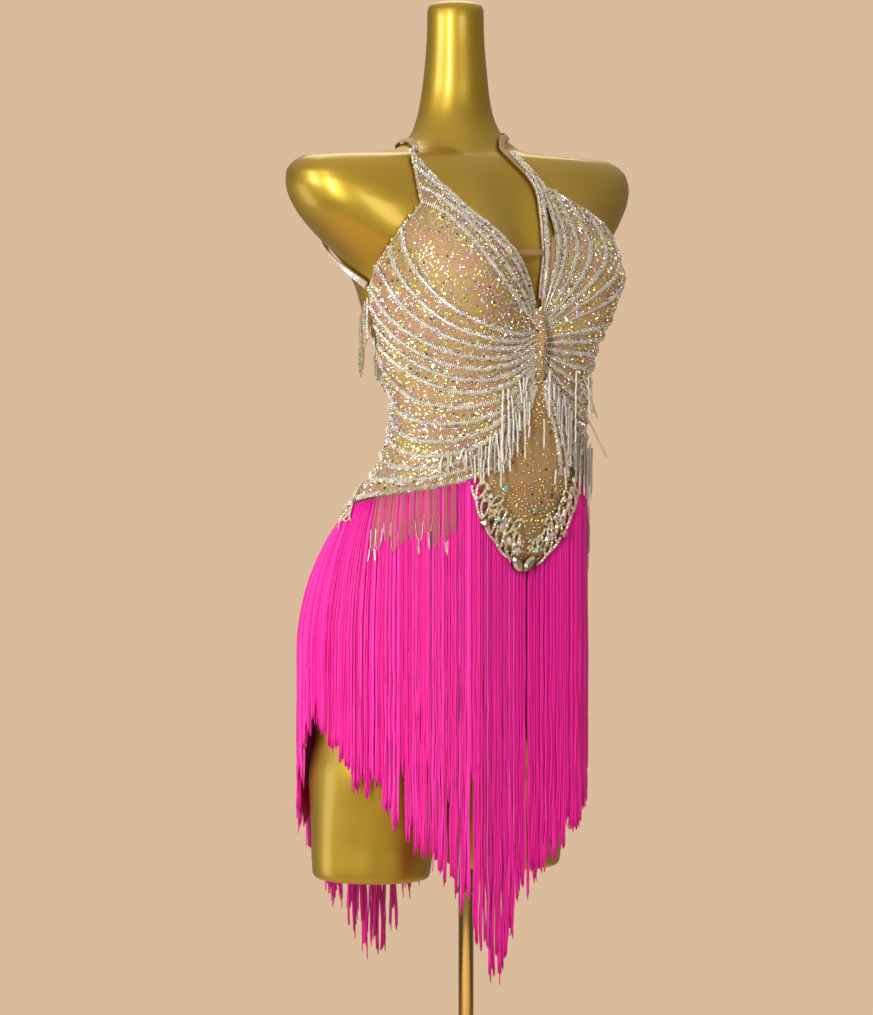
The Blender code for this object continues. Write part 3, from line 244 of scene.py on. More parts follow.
STRAP_ROPES = (  # on the left strap, from the knot and from the cup
    table(PATH, ((4.6, 126.6), (7.0, 128.3), (9.4, 129.8), (12.2, 131.7), (14.6, 133.2), (17.0, 134.4),
                 (19.6, 135.6), (22.0, 136.6), (23.8, 137.6), (24.1, 138.4), (22.7, 139.3),
                 (20.0, 140.1), (18.0, 140.8))),
    table(PATH, ((26.8, 137.2), (27.2, 138.2), (26.2, 139.0), (23.4, 139.8), (20.6, 140.5), (18.6, 141.1))),
)
LONE_STRANDS = (  # bearing, top, foot of single bugle strands near the knot
    (-22.3, 118.6, 116.2), (-17.8, 118.8, 117.2), (-14.3, 118.8, 117.4), (-13.8, 116.4, 112.7),
    (-33.4, 117.6, 111.9), (-30.2, 117.7, 111.9), (-28.0, 117.0, 112.3), (-22.6, 115.2, 113.4),
    (5.6, 119.4, 114.7), (-0.2, 114.6, 111.6), (9.0, 118.1, 116.5), (27.0, 119.4, 112.1),
    (25.0, 115.8, 113.2), (40.0, 118.9, 115.0), (46.0, 118.6, 114.6), (12.2, 109.4, 107.9),
    (19.6, 109.6, 107.2), (-37.2, 113.2, 109.4))

# Share of the stones that have each of the coating's colours.
COATING = (
    (0.40, (0.86, 0.85, 0.80)), (0.22, (0.84, 0.84, 0.34)), (0.13, (0.84, 0.66, 0.36)),
    (0.09, (0.68, 0.54, 0.88)), (0.06, (0.92, 0.50, 0.66)), (0.04, (0.42, 0.80, 0.72)),
    (0.02, (0.25, 0.38, 0.92)), (0.04, (0.16, 0.10, 0.06)))


# ======== the form's surface
def alike(*values):
    """Arrays of numbers, all broadcast to one shape."""
    return np.broadcast_arrays(*(np.asarray(value, float) for value in values))


def through_knots(knots, values, at):
    """Values between knots, along smooth (Hermite) spans; a value may be a row of several."""
    slopes = np.gradient(values, knots, axis=0)
    i = np.clip(np.searchsorted(knots, at) - 1, 0, len(knots) - 2)
    span = knots[i + 1] - knots[i]
    t = np.clip((at - knots[i]) / span, 0.0, 1.0)
    if values.ndim > 1:
        span, t = span[:, None], t[:, None]
    return ((2 * t**3 - 3 * t**2 + 1) * values[i] + (t**3 - 2 * t**2 + t) * span * slopes[i]
            + (3 * t**2 - 2 * t**3) * values[i + 1] + (t**3 - t**2) * span * slopes[i + 1])


def column(height, name):
    """One column of the form's table at any height."""
    return through_knots(FORM["height"], FORM[name], height)


def middle(height):
    """Y of the middle of the form's section."""
    return (column(height, "front") + column(height, "back")) / 2


def radius(bearing, height):
    """Distance from the middle of the section to the form's surface."""
    half_depth = (column(height, "back") - column(height, "front")) / 2
    power = column(height, "power")
    sine, cosine = np.sin(np.radians(bearing)), np.cos(np.radians(bearing))
    reach = ((np.abs(sine) / column(height, "half_width")) ** power
             + (np.abs(cosine) / half_depth) ** power) ** (-1 / power)
    turn = (bearing + 180.0) % 360.0 - 180.0
    above = height - BUST["height"]
    fade = np.exp(-(above / np.where(above > 0, BUST["above"], BUST["below"])) ** 2)
    for side in (-1, 1):
        reach = reach + BUST["swell"] * fade * np.exp(
            -((turn - side * BUST["bearing"]) / BUST["spread"]) ** 2)
    return reach


def skin(bearing, height):
    """Points of the form's surface."""
    bearing, height = alike(bearing, height)
    reach, angle = radius(bearing, height), np.radians(bearing)
    return np.stack((reach * np.sin(angle), middle(height) - reach * np.cos(angle), height), -1)


def unit(vectors):
    """Vectors scaled to length one."""
    return vectors / np.maximum(np.linalg.norm(vectors, axis=-1, keepdims=True), 1e-9)


def outward(bearing, height):
    """Unit normals of the form's surface."""
    bearing, height = alike(bearing, height)
    along = skin(bearing + 0.5, height) - skin(bearing - 0.5, height)
    up = skin(bearing, height + 0.05) - skin(bearing, height - 0.05)
    return unit(np.cross(along, up))


def lifted(bearing, height, lift):
    """Points of the surface moved out by a lift, and a little more over the bust and shoulders."""
    ease = BUST_EASE * np.exp(-((np.asarray(height, float) - BUST["height"]) / BUST["above"]) ** 2)
    ease = ease + SHELF_EASE * np.exp(-((np.asarray(height, float) - SHELF) / 1.2) ** 2)
    return skin(bearing, height) + outward(bearing, height) * (lift + ease)[..., None]


def girth(bearing, height):
    """Distance from the hips' middle line to the form, at a bearing about that line."""
    bearing, height = alike(bearing, height)
    angle, centre = np.radians(bearing), middle(height)
    low, high = np.zeros(bearing.shape), np.full(bearing.shape, 40.0)
    for _ in range(36):
        test = (low + high) / 2
        x, y = test * np.sin(angle), HIPS_Y - test * np.cos(angle) - centre
        inside = np.hypot(x, y) < radius(np.degrees(np.arctan2(x, -y)), height)
        low, high = np.where(inside, test, low), np.where(inside, high, test)
    return (low + high) / 2


HANG_STEP, HANG_TURN = 0.5, 2.0
HANG_HEIGHTS = np.arange(HIPS_FLOOR, 130.0, HANG_STEP)
HANG_BEARINGS = np.arange(-180.0, 181.0, HANG_TURN)
GIRTHS = girth(HANG_BEARINGS[:, None], HANG_HEIGHTS[None, :])


def hang(turn, top, height):
    """Distance of plumb strands from the hips' middle line: the widest girth each has passed."""
    turn, top, height = alike(turn, top, height)
    shape = turn.shape
    turn, top, height = turn.ravel(), top.ravel(), height.ravel()
    at = ((turn + 180.0) % 360.0) / HANG_TURN
    i = np.minimum(at.astype(int), len(HANG_BEARINGS) - 2)
    part = (at - i)[:, None]
    girths = GIRTHS[i] * (1 - part) + GIRTHS[i + 1] * part
    passed = np.where(HANG_HEIGHTS[None, :] <= top[:, None], girths, 0.0)
    passed = np.maximum.accumulate(passed[:, ::-1], axis=1)[:, ::-1]
    level = np.clip((height - HIPS_FLOOR) / HANG_STEP, 0, len(HANG_HEIGHTS) - 1.001)
    low = level.astype(int)
    rows = np.arange(len(low))
    here = girths[rows, low] * (1 - level + low) + girths[rows, low + 1] * (level - low)
    ahead = passed[rows, low] * (1 - level + low) + passed[rows, low + 1] * (level - low)
    return np.maximum(here, ahead).reshape(shape)


def around(turn, distance, height):
    """Points at bearings and distances from the hips' middle line."""
    angle = np.radians(turn)
    x, y, z = np.broadcast_arrays(distance * np.sin(angle), HIPS_Y - distance * np.cos(angle), height)
    return np.stack((x, y, z), -1)


def about_hips(bearing, height):
    """The bearings of points of the form's surface, taken about the hips' middle line."""
    points = skin(bearing, height)
    turn = np.degrees(np.arctan2(points[..., 0], HIPS_Y - points[..., 1]))
    return np.where(np.abs(bearing) >= 180, bearing, turn)


def rope_curve(ropes, position, stations, side):
    """Bearing and height along lines between the table's rows; positions and stations broadcast."""
    position, stations = alike(position, stations)
    low = np.clip(np.floor(position).astype(int), 0, len(ropes["rope"]) - 2)
    part = position - low
    share = np.array((0, 1, 2, 3)) / 3
    curve = np.zeros(position.shape + (2,))
    for k in range(4):
        weight = np.ones(position.shape)
        for m in range(4):
            if m != k:
                weight = weight * (stations - share[m]) / (share[k] - share[m])
        for axis, (name, sign) in enumerate(((f"b{k}", side), (f"h{k}", 1))):
            column_k = ropes[name]
            curve[..., axis] += weight * sign * (column_k[low] * (1 - part) + column_k[low + 1] * part)
    return curve


def fringe_root():
    """Bearings about the hips and heights of the line that the fringe hangs from."""
    edge = rope_curve(RIGHT_FRONT, len(RIGHT_FRONT["rope"]) - 1, np.linspace(1, 0, 13), -1)
    edge = edge[edge[:, 0] < -YOKE_POINT]
    lower = YOKE["height"] <= YOKE["height"][np.argmax(YOKE["spread"])]
    yoke = np.stack((-YOKE["spread"][lower] - SIDE_SEAM, YOKE["height"][lower]), -1)
    seam = edge[0, 0]
    back = np.stack((-180 + (180 + seam) * (1 - BACK["share"]), BACK["foot"]), -1)[::-1]
    right = np.concatenate((back, edge[1:], yoke))
    turn = about_hips(right[:, 0], right[:, 1])
    turn = np.concatenate((turn, (0.0,), -turn[::-1]))
    height = np.concatenate((right[:, 1], (YOKE["height"][-1] - SEAM,), right[::-1, 1]))
    return turn, height - SEAM


ROOT = fringe_root()


def over_fringe(turn, height, lift):
    """Points over the fringe's or the yoke's outside, at bearings about the hips."""
    top = np.maximum(np.interp(turn, *ROOT), height)
    return around(turn, hang(turn, top, height) + lift, height)


def length_along(points):
    """Distance along a polyline at each of its points."""
    return np.concatenate(((0,), np.cumsum(np.linalg.norm(np.diff(points, axis=0), axis=1))))


def between(want, at, rows):
    """Rows of values at the wanted places, each column taken between its known places."""
    return np.stack([np.interp(want, at, rows[:, k]) for k in range(rows.shape[1])], -1)


def spline(rows, count):
    """Bearings and heights along a smooth curve through a path's rows."""
    knots = np.stack((rows["bearing"], rows["height"]), -1)
    at = length_along(skin(*knots.T))
    return through_knots(at, knots, np.linspace(0, at[-1], count))


# ======== making meshes
def rng_for(name):
    """A random source of its own for each piece, the same each run."""
    return np.random.default_rng(sum(ord(letter) * (i + 1) for i, letter in enumerate(name)))


def piece(name, points, faces, material, slot, tints=None, uv=None, smooth=True, replaces=()):
    """A mesh object from points in centimetres about the axis, riding on the root body."""
    points = (np.asarray(points, float).reshape(-1, 3) + AXIS) * CM
    faces = [np.asarray(group, np.int32) for group in (faces if isinstance(faces, list) else [faces])]
    corners = np.concatenate([group.ravel() for group in faces])
    sizes = np.concatenate([np.full(len(group), group.shape[1]) for group in faces])
    starts = np.concatenate(((0,), np.cumsum(sizes)[:-1]))
    mesh = bpy.data.meshes.new(name)
    mesh.vertices.add(len(points))
    mesh.vertices.foreach_set("co", points.ravel().astype(np.float32))
    mesh.loops.add(len(corners))
    mesh.loops.foreach_set("vertex_index", corners)
    mesh.polygons.add(len(sizes))
    mesh.polygons.foreach_set("loop_start", starts.astype(np.int32))
    mesh.polygons.foreach_set("use_smooth", np.full(len(sizes), smooth))
    if uv is not None:
        layer = mesh.uv_layers.new(name="UVMap")
        layer.data.foreach_set("uv", np.asarray(uv, np.float32).reshape(-1, 2)[corners].ravel())
    if tints is not None:
        set_tints(mesh, tints)
    mesh.update()
    mesh.validate()
    mesh.materials.append(material)
    thing = bpy.data.objects.new(name, mesh)
    bpy.context.scene.collection.objects.link(thing)
    finish_piece(thing, slot, replaces)
    return thing


def set_tints(mesh, tints):
    """Gives each point of a mesh its tint."""
    colours = np.ones((len(mesh.vertices), 4), np.float32)
    colours[:, :3] = tints
    mesh.attributes.new("tint", "FLOAT_COLOR", "POINT").data.foreach_set("color", colours.ravel())


def finish_piece(thing, slot, replaces=()):
    """Puts a finished piece on the root body and hides the nodes that it stands for; its slot is not used."""
    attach(thing, "root")
    if replaces:
        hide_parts(*replaces)


def grid_faces(rows, columns, closed=False):
    """Quads of a grid of points; closed joins its last column to its first."""
    r, c = np.meshgrid(np.arange(rows - 1), np.arange(columns if closed else columns - 1), indexing="ij")
    a, b = r * columns + c, r * columns + (c + 1) % columns
    return np.stack((a, b, b + columns, a + columns), -1).reshape(-1, 4)


def halves(quads):
    """Quads cut into triangles."""
    return np.concatenate((quads[:, (0, 1, 2)], quads[:, (0, 2, 3)]))


def wall_faces(rows, columns):
    """Quads of a closed wall between two equal grids of points, one after the other."""
    back = rows * columns
    faces = grid_faces(rows, columns)
    rim = np.concatenate((
        np.arange(columns), np.arange(1, rows) * columns + columns - 1,
        (rows - 1) * columns + np.arange(columns - 2, -1, -1), np.arange(rows - 2, 0, -1) * columns))
    ahead = np.roll(rim, -1)
    edge = np.stack((ahead, rim, rim + back, ahead + back), -1)
    return np.concatenate((faces, faces[:, ::-1] + back, edge))


def wall_points(outer, inner):
    """The points of two equal grids, one grid after the other."""
    return np.concatenate((outer.reshape(-1, 3), inner.reshape(-1, 3)))


def tubes(paths, normals, radii, sides):
    """Points, triangles and UVs of closed tubes along paths that all have the same number of points."""
    count, steps = paths.shape[:2]
    forward = unit(np.gradient(paths, axis=1))
    side = unit(np.cross(forward, normals))
    upright = np.cross(side, forward)
    angle = 2 * np.pi * np.arange(sides) / sides
    ring = (paths[:, :, None] + radii[:, :, None, None]
            * (upright[:, :, None] * np.cos(angle)[:, None] + side[:, :, None] * np.sin(angle)[:, None]))
    points = np.concatenate((ring.reshape(count, -1, 3), paths[:, :1], paths[:, -1:]), axis=1)
    k = np.arange(sides)
    last, start, stop = (steps - 1) * sides, steps * sides, steps * sides + 1
    caps = np.concatenate((
        np.stack(((k + 1) % sides, k, np.full(sides, start)), -1),
        np.stack((last + k, last + (k + 1) % sides, np.full(sides, stop)), -1)))
    unit_faces = np.concatenate((halves(grid_faces(steps, sides, closed=True)), caps))
    per = points.shape[1]
    faces = (unit_faces[None] + (np.arange(count) * per)[:, None, None]).reshape(-1, 3)
    length = np.cumsum(np.linalg.norm(np.diff(paths, axis=1, prepend=paths[:, :1]), axis=2), axis=1)
    uv = np.zeros((count, per, 2))
    uv[:, :start, 0] = np.tile(k / sides, steps)
    uv[:, :start, 1] = np.repeat(length, sides, axis=1)
    uv[:, stop, 1] = length[:, -1]
    return points.reshape(-1, 3), faces, uv.reshape(-1, 2), per


def fan(ring, centre, flip=False):
    """Triangles from a ring of point numbers to a centre."""
    ring = np.asarray(ring)
    ahead = np.roll(ring, -1)
    faces = np.stack((ring, ahead, np.full(len(ring), centre)), -1)
    return faces[:, ::-1] if flip else faces


def circle(sides, size=1.0, level=0.0, turn=0.0):
    """Points round a level circle about Z."""
    angle = 2 * np.pi * np.arange(sides) / sides + turn
    return np.stack((size * np.cos(angle), size * np.sin(angle), level + 0 * angle), -1)


def cut_bead(sides):
    """A small cut bead along Z: a waist ring between two points."""
    points = np.concatenate((circle(sides), ((0, 0, 1), (0, 0, -1))))
    return points, np.concatenate((fan(range(sides), sides), fan(range(sides), sides + 1, True)))


def cut_shape(sides, rings, crown=None):
    """A small closed shape on a flat back: rings (size, level, turn), then a flat top or a point."""
    points = np.concatenate([circle(sides, *ring) for ring in rings])
    last = len(points) - sides
    k = np.arange(1, sides - 1)
    flat = np.stack((0 * k, k, k + 1), -1)
    faces = [halves(grid_faces(len(rings), sides, closed=True)), flat[:, ::-1]]
    if crown is None:
        return points, np.concatenate((*faces, flat + last))
    faces.append(fan(last + np.arange(sides), len(points)))
    return np.concatenate((points, ((0, 0, crown),))), np.concatenate(faces)


BEAD = cut_bead(5)
BUGLE = cut_shape(6, ((1, -1), (1, 1)))
STONE = cut_shape(5, ((1, 0), (0.55, 0.62)))
CHAIN_STONE = cut_shape(6, ((1, 0), (0.58, 0.75)))
DOME = cut_shape(8, ((1, 0), (0.86, 0.5), (0.48, 0.84)), 0.96)
LACE_CRYSTAL = cut_shape(10, ((1, 0), (1, 0.22), (0.82, 0.46, np.pi / 10), (0.52, 0.62)))
DIMMING = 0.12  # the most that a stone is darker than its colour
ANY_TURN = 6.28  # range of a random turn or phase, in radians


def coating(count, rng):
    """A tint for each stone, drawn from the coating's colours."""
    shares = np.array([share for share, _ in COATING])
    pick = rng.choice(len(COATING), count, p=shares / shares.sum())
    colours = np.array([colour for _, colour in COATING])[pick]
    return colours * (1 - rng.random((count, 1)) * DIMMING)


class Load:
    """Gathers the points, faces and tints of many small shapes for one joined mesh."""

    def __init__(self):
        self.points, self.faces, self.tints, self.count = [], [], [], 0

    def add(self, points, faces, tints):
        self.points.append(points)
        self.faces.append(faces + self.count)
        self.tints.append(np.broadcast_to(tints, points.shape))
        self.count += len(points)

    def set_shapes(self, shape, places, frames, tints):
        """One small shape at many places, each with its own scaled frame and its tint."""
        shape_points, shape_faces = shape
        points = np.einsum("nij,kj->nki", frames, shape_points) + places[:, None]
        faces = shape_faces[None] + (np.arange(len(places)) * len(shape_points))[:, None, None]
        self.add(points.reshape(-1, 3), faces.reshape(-1, 3), np.repeat(tints, len(shape_points), axis=0))

    def set_tubes(self, paths, normals, radii, sides, tint):
        points, faces, _, _ = tubes(paths, normals, radii, sides)
        self.add(points, faces, np.asarray(tint, float))

    def make(self, name, finish, smooth=False, replaces=()):
        return piece(name, np.concatenate(self.points), np.concatenate(self.faces), finish_of(finish),
                     "crystal", tints=np.concatenate(self.tints), smooth=smooth, replaces=replaces)


def frames_on(normals, spin, across, up):
    """Frames whose third axis is a normal, turned by a spin, scaled across and up."""
    helper = np.where(np.abs(normals[:, 2:3]) < 0.9, ((0.0, 0.0, 1.0),), ((1.0, 0.0, 0.0),))
    first = unit(np.cross(helper, normals))
    second = np.cross(normals, first)
    cosine, sine = np.cos(spin)[:, None], np.sin(spin)[:, None]
    x, y = first * cosine + second * sine, second * cosine - first * sine
    across, up = (np.broadcast_to(v, len(normals))[:, None] for v in (across, up))
    return np.stack((x * across, y * across, normals * up), -1)


def resample(line, step):
    """Points at equal steps along a polyline."""
    at = length_along(line)
    count = max(int(at[-1] / step), 3)
    return between((np.arange(count) + 0.5) * at[-1] / count, at, line)


# ======== finishes
def new_material(name):
    """A node material, its node tree and its shader."""
    material = bpy.data.materials.new(name)
    material.use_nodes = True
    return material, material.node_tree, material.node_tree.nodes["Principled BSDF"]


def set_inputs(made, **values):
    """Sets a node's input values by name; an underscore stands for a space."""
    for key, value in values.items():
        made.inputs[key.replace("_", " ")].default_value = value


def node(tree, kind, source=None, **values):
    """A node with its properties and inputs set, and a source linked to the first input."""
    made = tree.nodes.new(kind)
    for key, value in values.items():
        if hasattr(made, key):
            setattr(made, key, value)
        else:
            set_inputs(made, **{key: value})
    if source:
        tree.links.new(source, made.inputs[0])
    return made


def bump(tree, shader, source, strength, distance):
    """A bump from a height socket into the shader."""
    made = node(tree, "ShaderNodeBump", Strength=strength, Distance=distance)
    tree.links.new(source, made.inputs["Height"])
    tree.links.new(made.outputs["Normal"], shader.inputs["Normal"])


def mixed(tree, factor, one, other, blend="MIX"):
    """A colour mix; one and other are colours or sockets, factor a number or a socket."""
    made = node(tree, "ShaderNodeMix", data_type="RGBA", blend_type=blend)
    for index, value in ((0, factor), (6, one), (7, other)):
        if isinstance(value, bpy.types.NodeSocket):
            tree.links.new(value, made.inputs[index])
        else:
            made.inputs[index].default_value = value if index == 0 else (*value, 1.0)
    return made.outputs[2]


def ramp(tree, source, stops):
    """A colour ramp: stops are (position, colour)."""
    made = node(tree, "ShaderNodeValToRGB", source)
    elements = made.color_ramp.elements
    while len(elements) < len(stops):
        elements.new(0.5)
    for element, (position, colour) in zip(elements, stops):
        element.position, element.color = position, (*colour, 1.0)
    return made.outputs["Color"]


def cloudy(tree, source, colour, dark, full=0.7):
    """A colour that is darker where its source is low."""
    return ramp(tree, source, ((0.3, tuple(dark * c for c in colour)), (full, colour)))


def object_noise(tree, scale, detail=3.0, stretch=(1, 1, 1)):
    """A noise over the object's own coordinates, stretched along its axes."""
    place = node(tree, "ShaderNodeTexCoord").outputs["Object"]
    mapping = node(tree, "ShaderNodeMapping", place, Scale=stretch)
    return node(tree, "ShaderNodeTexNoise", mapping.outputs["Vector"], Scale=scale,
                Detail=detail).outputs["Fac"]


def uneven_gloss(tree, shader, scale, low, high):
    """Roughness that drifts between two values."""
    rough = node(tree, "ShaderNodeMapRange", object_noise(tree, scale), To_Min=low, To_Max=high)
    tree.links.new(rough.outputs["Result"], shader.inputs["Roughness"])


def own_tint(tree):
    """The tint that each stone, bead or thread carries."""
    return node(tree, "ShaderNodeAttribute", attribute_name="tint").outputs["Color"]


def gold_paint(colour):
    """Satin gold lacquer on a moulded form: slight cloudiness, orange peel and a clear coat."""
    material, tree, shader = new_material("gold_paint")
    tree.links.new(cloudy(tree, object_noise(tree, 7.0), colour, 0.84), shader.inputs["Base Color"])
    uneven_gloss(tree, shader, 22.0, 0.38, 0.46)
    set_inputs(shader, Metallic=0.92, Coat_Weight=0.38, Coat_Roughness=0.12)
    bump(tree, shader, object_noise(tree, 420.0, 2.0), 0.06, 0.0006)
    return material


def brushed_gold(colour):
    """Drawn gold tube and plate: fine scratches, and a painted reflection of the studio: bright where it
    faces the eye, dark bands, and pale bluish edges.
    """
    material, tree, shader = new_material("brushed_gold")
    grain = object_noise(tree, 900.0, 2.0, (1, 1, 0.02))
    turn = node(tree, "ShaderNodeLayerWeight", Blend=0.5).outputs["Facing"]
    # painted reflection: light and dark bands by how far the surface turns away from the eye
    painted_reflection = ramp(tree, turn, (
        (0.0, (1.25, 1.25, 1.20)), (0.10, (1.1, 1.1, 1.05)), (0.22, (0.40, 0.36, 0.30)),
        (0.45, (0.50, 0.46, 0.38)), (0.68, (1.15, 1.3, 1.9)), (0.9, (1.1, 1.2, 1.5))))
    base = mixed(tree, 1.0, cloudy(tree, grain, colour, 0.8, 0.75), painted_reflection, "MULTIPLY")
    tree.links.new(base, shader.inputs["Base Color"])
    uneven_gloss(tree, shader, 14.0, 0.06, 0.11)
    set_inputs(shader, Metallic=1.0)
    bump(tree, shader, grain, 0.08, 0.0004)
    return material


def stretch_mesh(colour):
    """Nude power mesh: a fine diamond net of knitted yarn over a slightly darker ground."""
    material, tree, shader = new_material("stretch_mesh")
    net = node(tree, "ShaderNodeTexVoronoi", node(tree, "ShaderNodeTexCoord").outputs["Object"],
               feature="DISTANCE_TO_EDGE", Scale=950.0, Randomness=0.25)
    yarn = ramp(tree, net.outputs["Distance"], ((0.05, (1, 1, 1)), (0.32, (0, 0, 0))))
    ground = cloudy(tree, object_noise(tree, 16.0), colour, 0.80)
    base = mixed(tree, yarn, mixed(tree, 0.28, ground, (0.20, 0.12, 0.05)), ground)
    tree.links.new(base, shader.inputs["Base Color"])
    set_inputs(shader, Roughness=0.62, Sheen_Weight=0.25, Sheen_Roughness=0.4, Specular_IOR_Level=0.35)
    bump(tree, shader, yarn, 0.35, 0.0004)
    return material


def sheer_mesh(colour):
    """The same mesh in one sheer layer, so that what hangs behind it shows through."""
    material = stretch_mesh(colour)
    material.name = "sheer_mesh"
    set_inputs(material.node_tree.nodes["Principled BSDF"], Alpha=0.18)
    return material


def coated_crystal(name, roughness, metallic, coat):
    """Foiled cut glass with a rainbow coating: each stone's tint, warmer or cooler at a glance."""
    material, tree, shader = new_material(name)
    shift = ramp(tree, node(tree, "ShaderNodeLayerWeight", Blend=0.35).outputs["Facing"], (
        (0.0, (1.0, 1.0, 1.0)), (0.35, (1.0, 0.96, 0.78)), (0.6, (0.86, 0.78, 1.0)),
        (0.9, (0.72, 0.95, 0.92))))
    tree.links.new(mixed(tree, 0.7, own_tint(tree), shift, "MULTIPLY"), shader.inputs["Base Color"])
    uneven_gloss(tree, shader, 260.0, roughness, roughness + 0.12)
    set_inputs(shader, Metallic=metallic, Coat_Weight=coat, Coat_Roughness=0.04)
    return material


def fringe_thread(colour):
    """Shiny twisted rayon: each thread's tint, with its painted highlight or shade, and plies that wind along
    it, with painted shade in the grooves between them.
    """
    material, tree, shader = new_material("fringe_thread")
    base = mixed(tree, 1.0, colour, own_tint(tree), "MULTIPLY")
    place = node(tree, "ShaderNodeUVMap", uv_map="UVMap").outputs["UV"]
    mapping = node(tree, "ShaderNodeMapping", place, Scale=(1.0, 3.2, 1.0))
    ply = node(tree, "ShaderNodeTexWave", mapping.outputs["Vector"], bands_direction="DIAGONAL",
               Scale=1.0, Distortion=0.4).outputs["Fac"]
    # painted shade: the grooves between the plies are darkened
    painted_groove_shade = ramp(tree, ply, ((0.15, (0.72, 0.72, 0.72)), (0.55, (1, 1, 1))))
    tree.links.new(mixed(tree, 0.6, base, painted_groove_shade, "MULTIPLY"), shader.inputs["Base Color"])
    set_inputs(shader, Roughness=0.42, Specular_IOR_Level=0.28, Sheen_Weight=0.06)
    bump(tree, shader, ply, 0.4, 0.0004)
    return material


FINISHES = {}


def finish_of(name):
    """The dress's materials, made once from the colours in the sidebar."""
    if not FINISHES:
        colours = bpy.context.scene.dress_colours
        FINISHES.update(
            paint=gold_paint(tuple(colours.form)), metal=brushed_gold(tuple(colours.metal)),
            mesh=stretch_mesh(tuple(colours.mesh)), sheer=sheer_mesh(tuple(colours.mesh)),
            thread=fringe_thread(tuple(colours.thread)),
            crystal=coated_crystal("coated_crystal", 0.15, 0.85, 0.45),
            silver=coated_crystal("silver_lined_glass", 0.24, 0.40, 0.3))
    return FINISHES[name]


# ======== sizes and colours in the sidebar
COLOUR = dict(subtype="COLOR", size=3, min=0, max=1)


class DressSizes(bpy.types.PropertyGroup):
    """Sizes that a maker would change."""
    rope_half: FloatProperty(
        name="Rope half width", description="Half the width of a bead rope", default=0.0034,
        min=0.001, unit="LENGTH")
    rope_bead: FloatProperty(
        name="Rope bead", description="Radius of a bead in the ropes", default=0.0011, min=0.0003,
        unit="LENGTH")
    stone: FloatProperty(
        name="Scattered stone", description="Mean radius of a scattered stone", default=0.0013,
        min=0.0003, unit="LENGTH")
    stone_gap: FloatProperty(
        name="Stone spacing", description="Spacing of the scattered stones", default=0.0038,
        min=0.001, unit="LENGTH")
    thread: FloatProperty(
        name="Thread", description="Radius of a fringe thread", default=0.00085, min=0.0002,
        unit="LENGTH")
    threads: IntProperty(
        name="Threads", description="Fringe threads in a quarter of the skirt", default=560, min=10)
    bugle: FloatProperty(
        name="Bugle bead", description="Radius of a bugle bead", default=0.0009, min=0.0003,
        unit="LENGTH")


class DressColours(bpy.types.PropertyGroup):
    """Base colours of the finishes."""
    form: FloatVectorProperty(
        name="Form", description="Gold lacquer of the form", default=(0.52, 0.352, 0.040),
        **COLOUR)
    metal: FloatVectorProperty(
        name="Stand", description="Gold of the pole and base", default=(0.74, 0.56, 0.22),
        **COLOUR)
    mesh: FloatVectorProperty(
        name="Mesh", description="Nude stretch mesh", default=(0.43, 0.258, 0.108),
        **COLOUR)
    thread: FloatVectorProperty(
        name="Fringe", description="Fringe thread", default=(1.0, 0.008, 0.42),
        **COLOUR)
    floor: FloatVectorProperty(
        name="Floor", description="Studio floor", default=(0.70, 0.50, 0.33),
        **COLOUR)


class DressStage(bpy.types.PropertyGroup):
    """Where the camera stands and how strong the studio light is."""
    azimuth: FloatProperty(
        name="Azimuth", description="Turn of the camera about the form, in degrees", default=-40.0)
    distance: FloatProperty(
        name="Distance", description="From the neck's axis to the camera", default=4.5, unit="LENGTH")
    height: FloatProperty(
        name="Height", description="Height of the camera", default=1.255, unit="LENGTH")
    light: FloatProperty(
        name="Light", description="Strength of the lamps", default=1.0, min=0)


def sizes():
    """The sizes in centimetres."""
    source = bpy.context.scene.dress_sizes
    return {name: getattr(source, name) / CM for name in
            ("rope_half", "rope_bead", "stone", "stone_gap", "thread", "bugle")}


# ======== the form and its stand
FORM_SPLIT = 64.0  # bearing at which the form's columns change their spacing
FRONT_STEPS, BACK_STEPS, INNER_STEPS = 22, 30, 16
# The form's rings and its stumps' rings: from, to and step of their heights.
RING_LEVELS = ((CROTCH, 136, 0.9), (136, 144, 0.25), (144, 149, 0.5), (149, 156.4, 0.8))
STUMP_LEVELS = ((CROTCH - 0.3, 79.1, -0.3), (79, 68.3, -0.7))
# Rounded ends: height or rise over the foot, and the share of the width left there.
NECK_TOP = ((156.6, 0.95), (156.85, 0.86), (157.05, 0.70), (157.17, 0.45), (157.22, 0.20))
FOOT_ROUND = ((0.7, 0.998), (0.4, 0.985), (0.2, 0.965), (0.08, 0.94), (0.0, 0.90))


def half_bearings():
    """The form's column bearings on its left half, from the front round to the back."""
    front = np.linspace(0, FORM_SPLIT, FRONT_STEPS + 1)
    return np.concatenate((front, np.linspace(FORM_SPLIT, 180, BACK_STEPS + 1)[1:]))


def leg_ring(height):
    """One level of the left thigh stump: its outer side, then its inner side."""
    level = {name: np.interp(height, THIGH["height"], THIGH[name]) for name in THIGH}
    fall = np.clip((CROTCH - height) / (CROTCH - THIGH["height"][-1]), 0.0, 1.0)
    merge = fall**2 * (3 - 2 * fall)
    outer = skin(half_bearings(), CROTCH)
    inner_y = np.linspace(outer[-1, 1], outer[0, 1], INNER_STEPS + 2)[1:-1]
    split = np.concatenate((outer, [(0.0, y, 0.0) for y in inner_y]))
    offset = split[:, :2] - (level["middle_x"], level["middle_y"])
    angle = np.arctan2(offset[:, 0] / level["half_width"], -offset[:, 1] / level["half_depth"])
    round_x = level["middle_x"] + level["half_width"] * np.sin(angle)
    round_y = level["middle_y"] - level["half_depth"] * np.cos(angle)
    x = split[:, 0] * (1 - merge) + round_x * merge
    y = split[:, 1] * (1 - merge) + round_y * merge
    return np.stack((x, y, np.full(len(x), height)), -1)


# Where the neck is filled out: between two heights, about a bearing, and how steeply it rises.
THROAT = dict(foot=138.6, head=147.5, bearing=-24.0, half=36.0, curve=1.75)


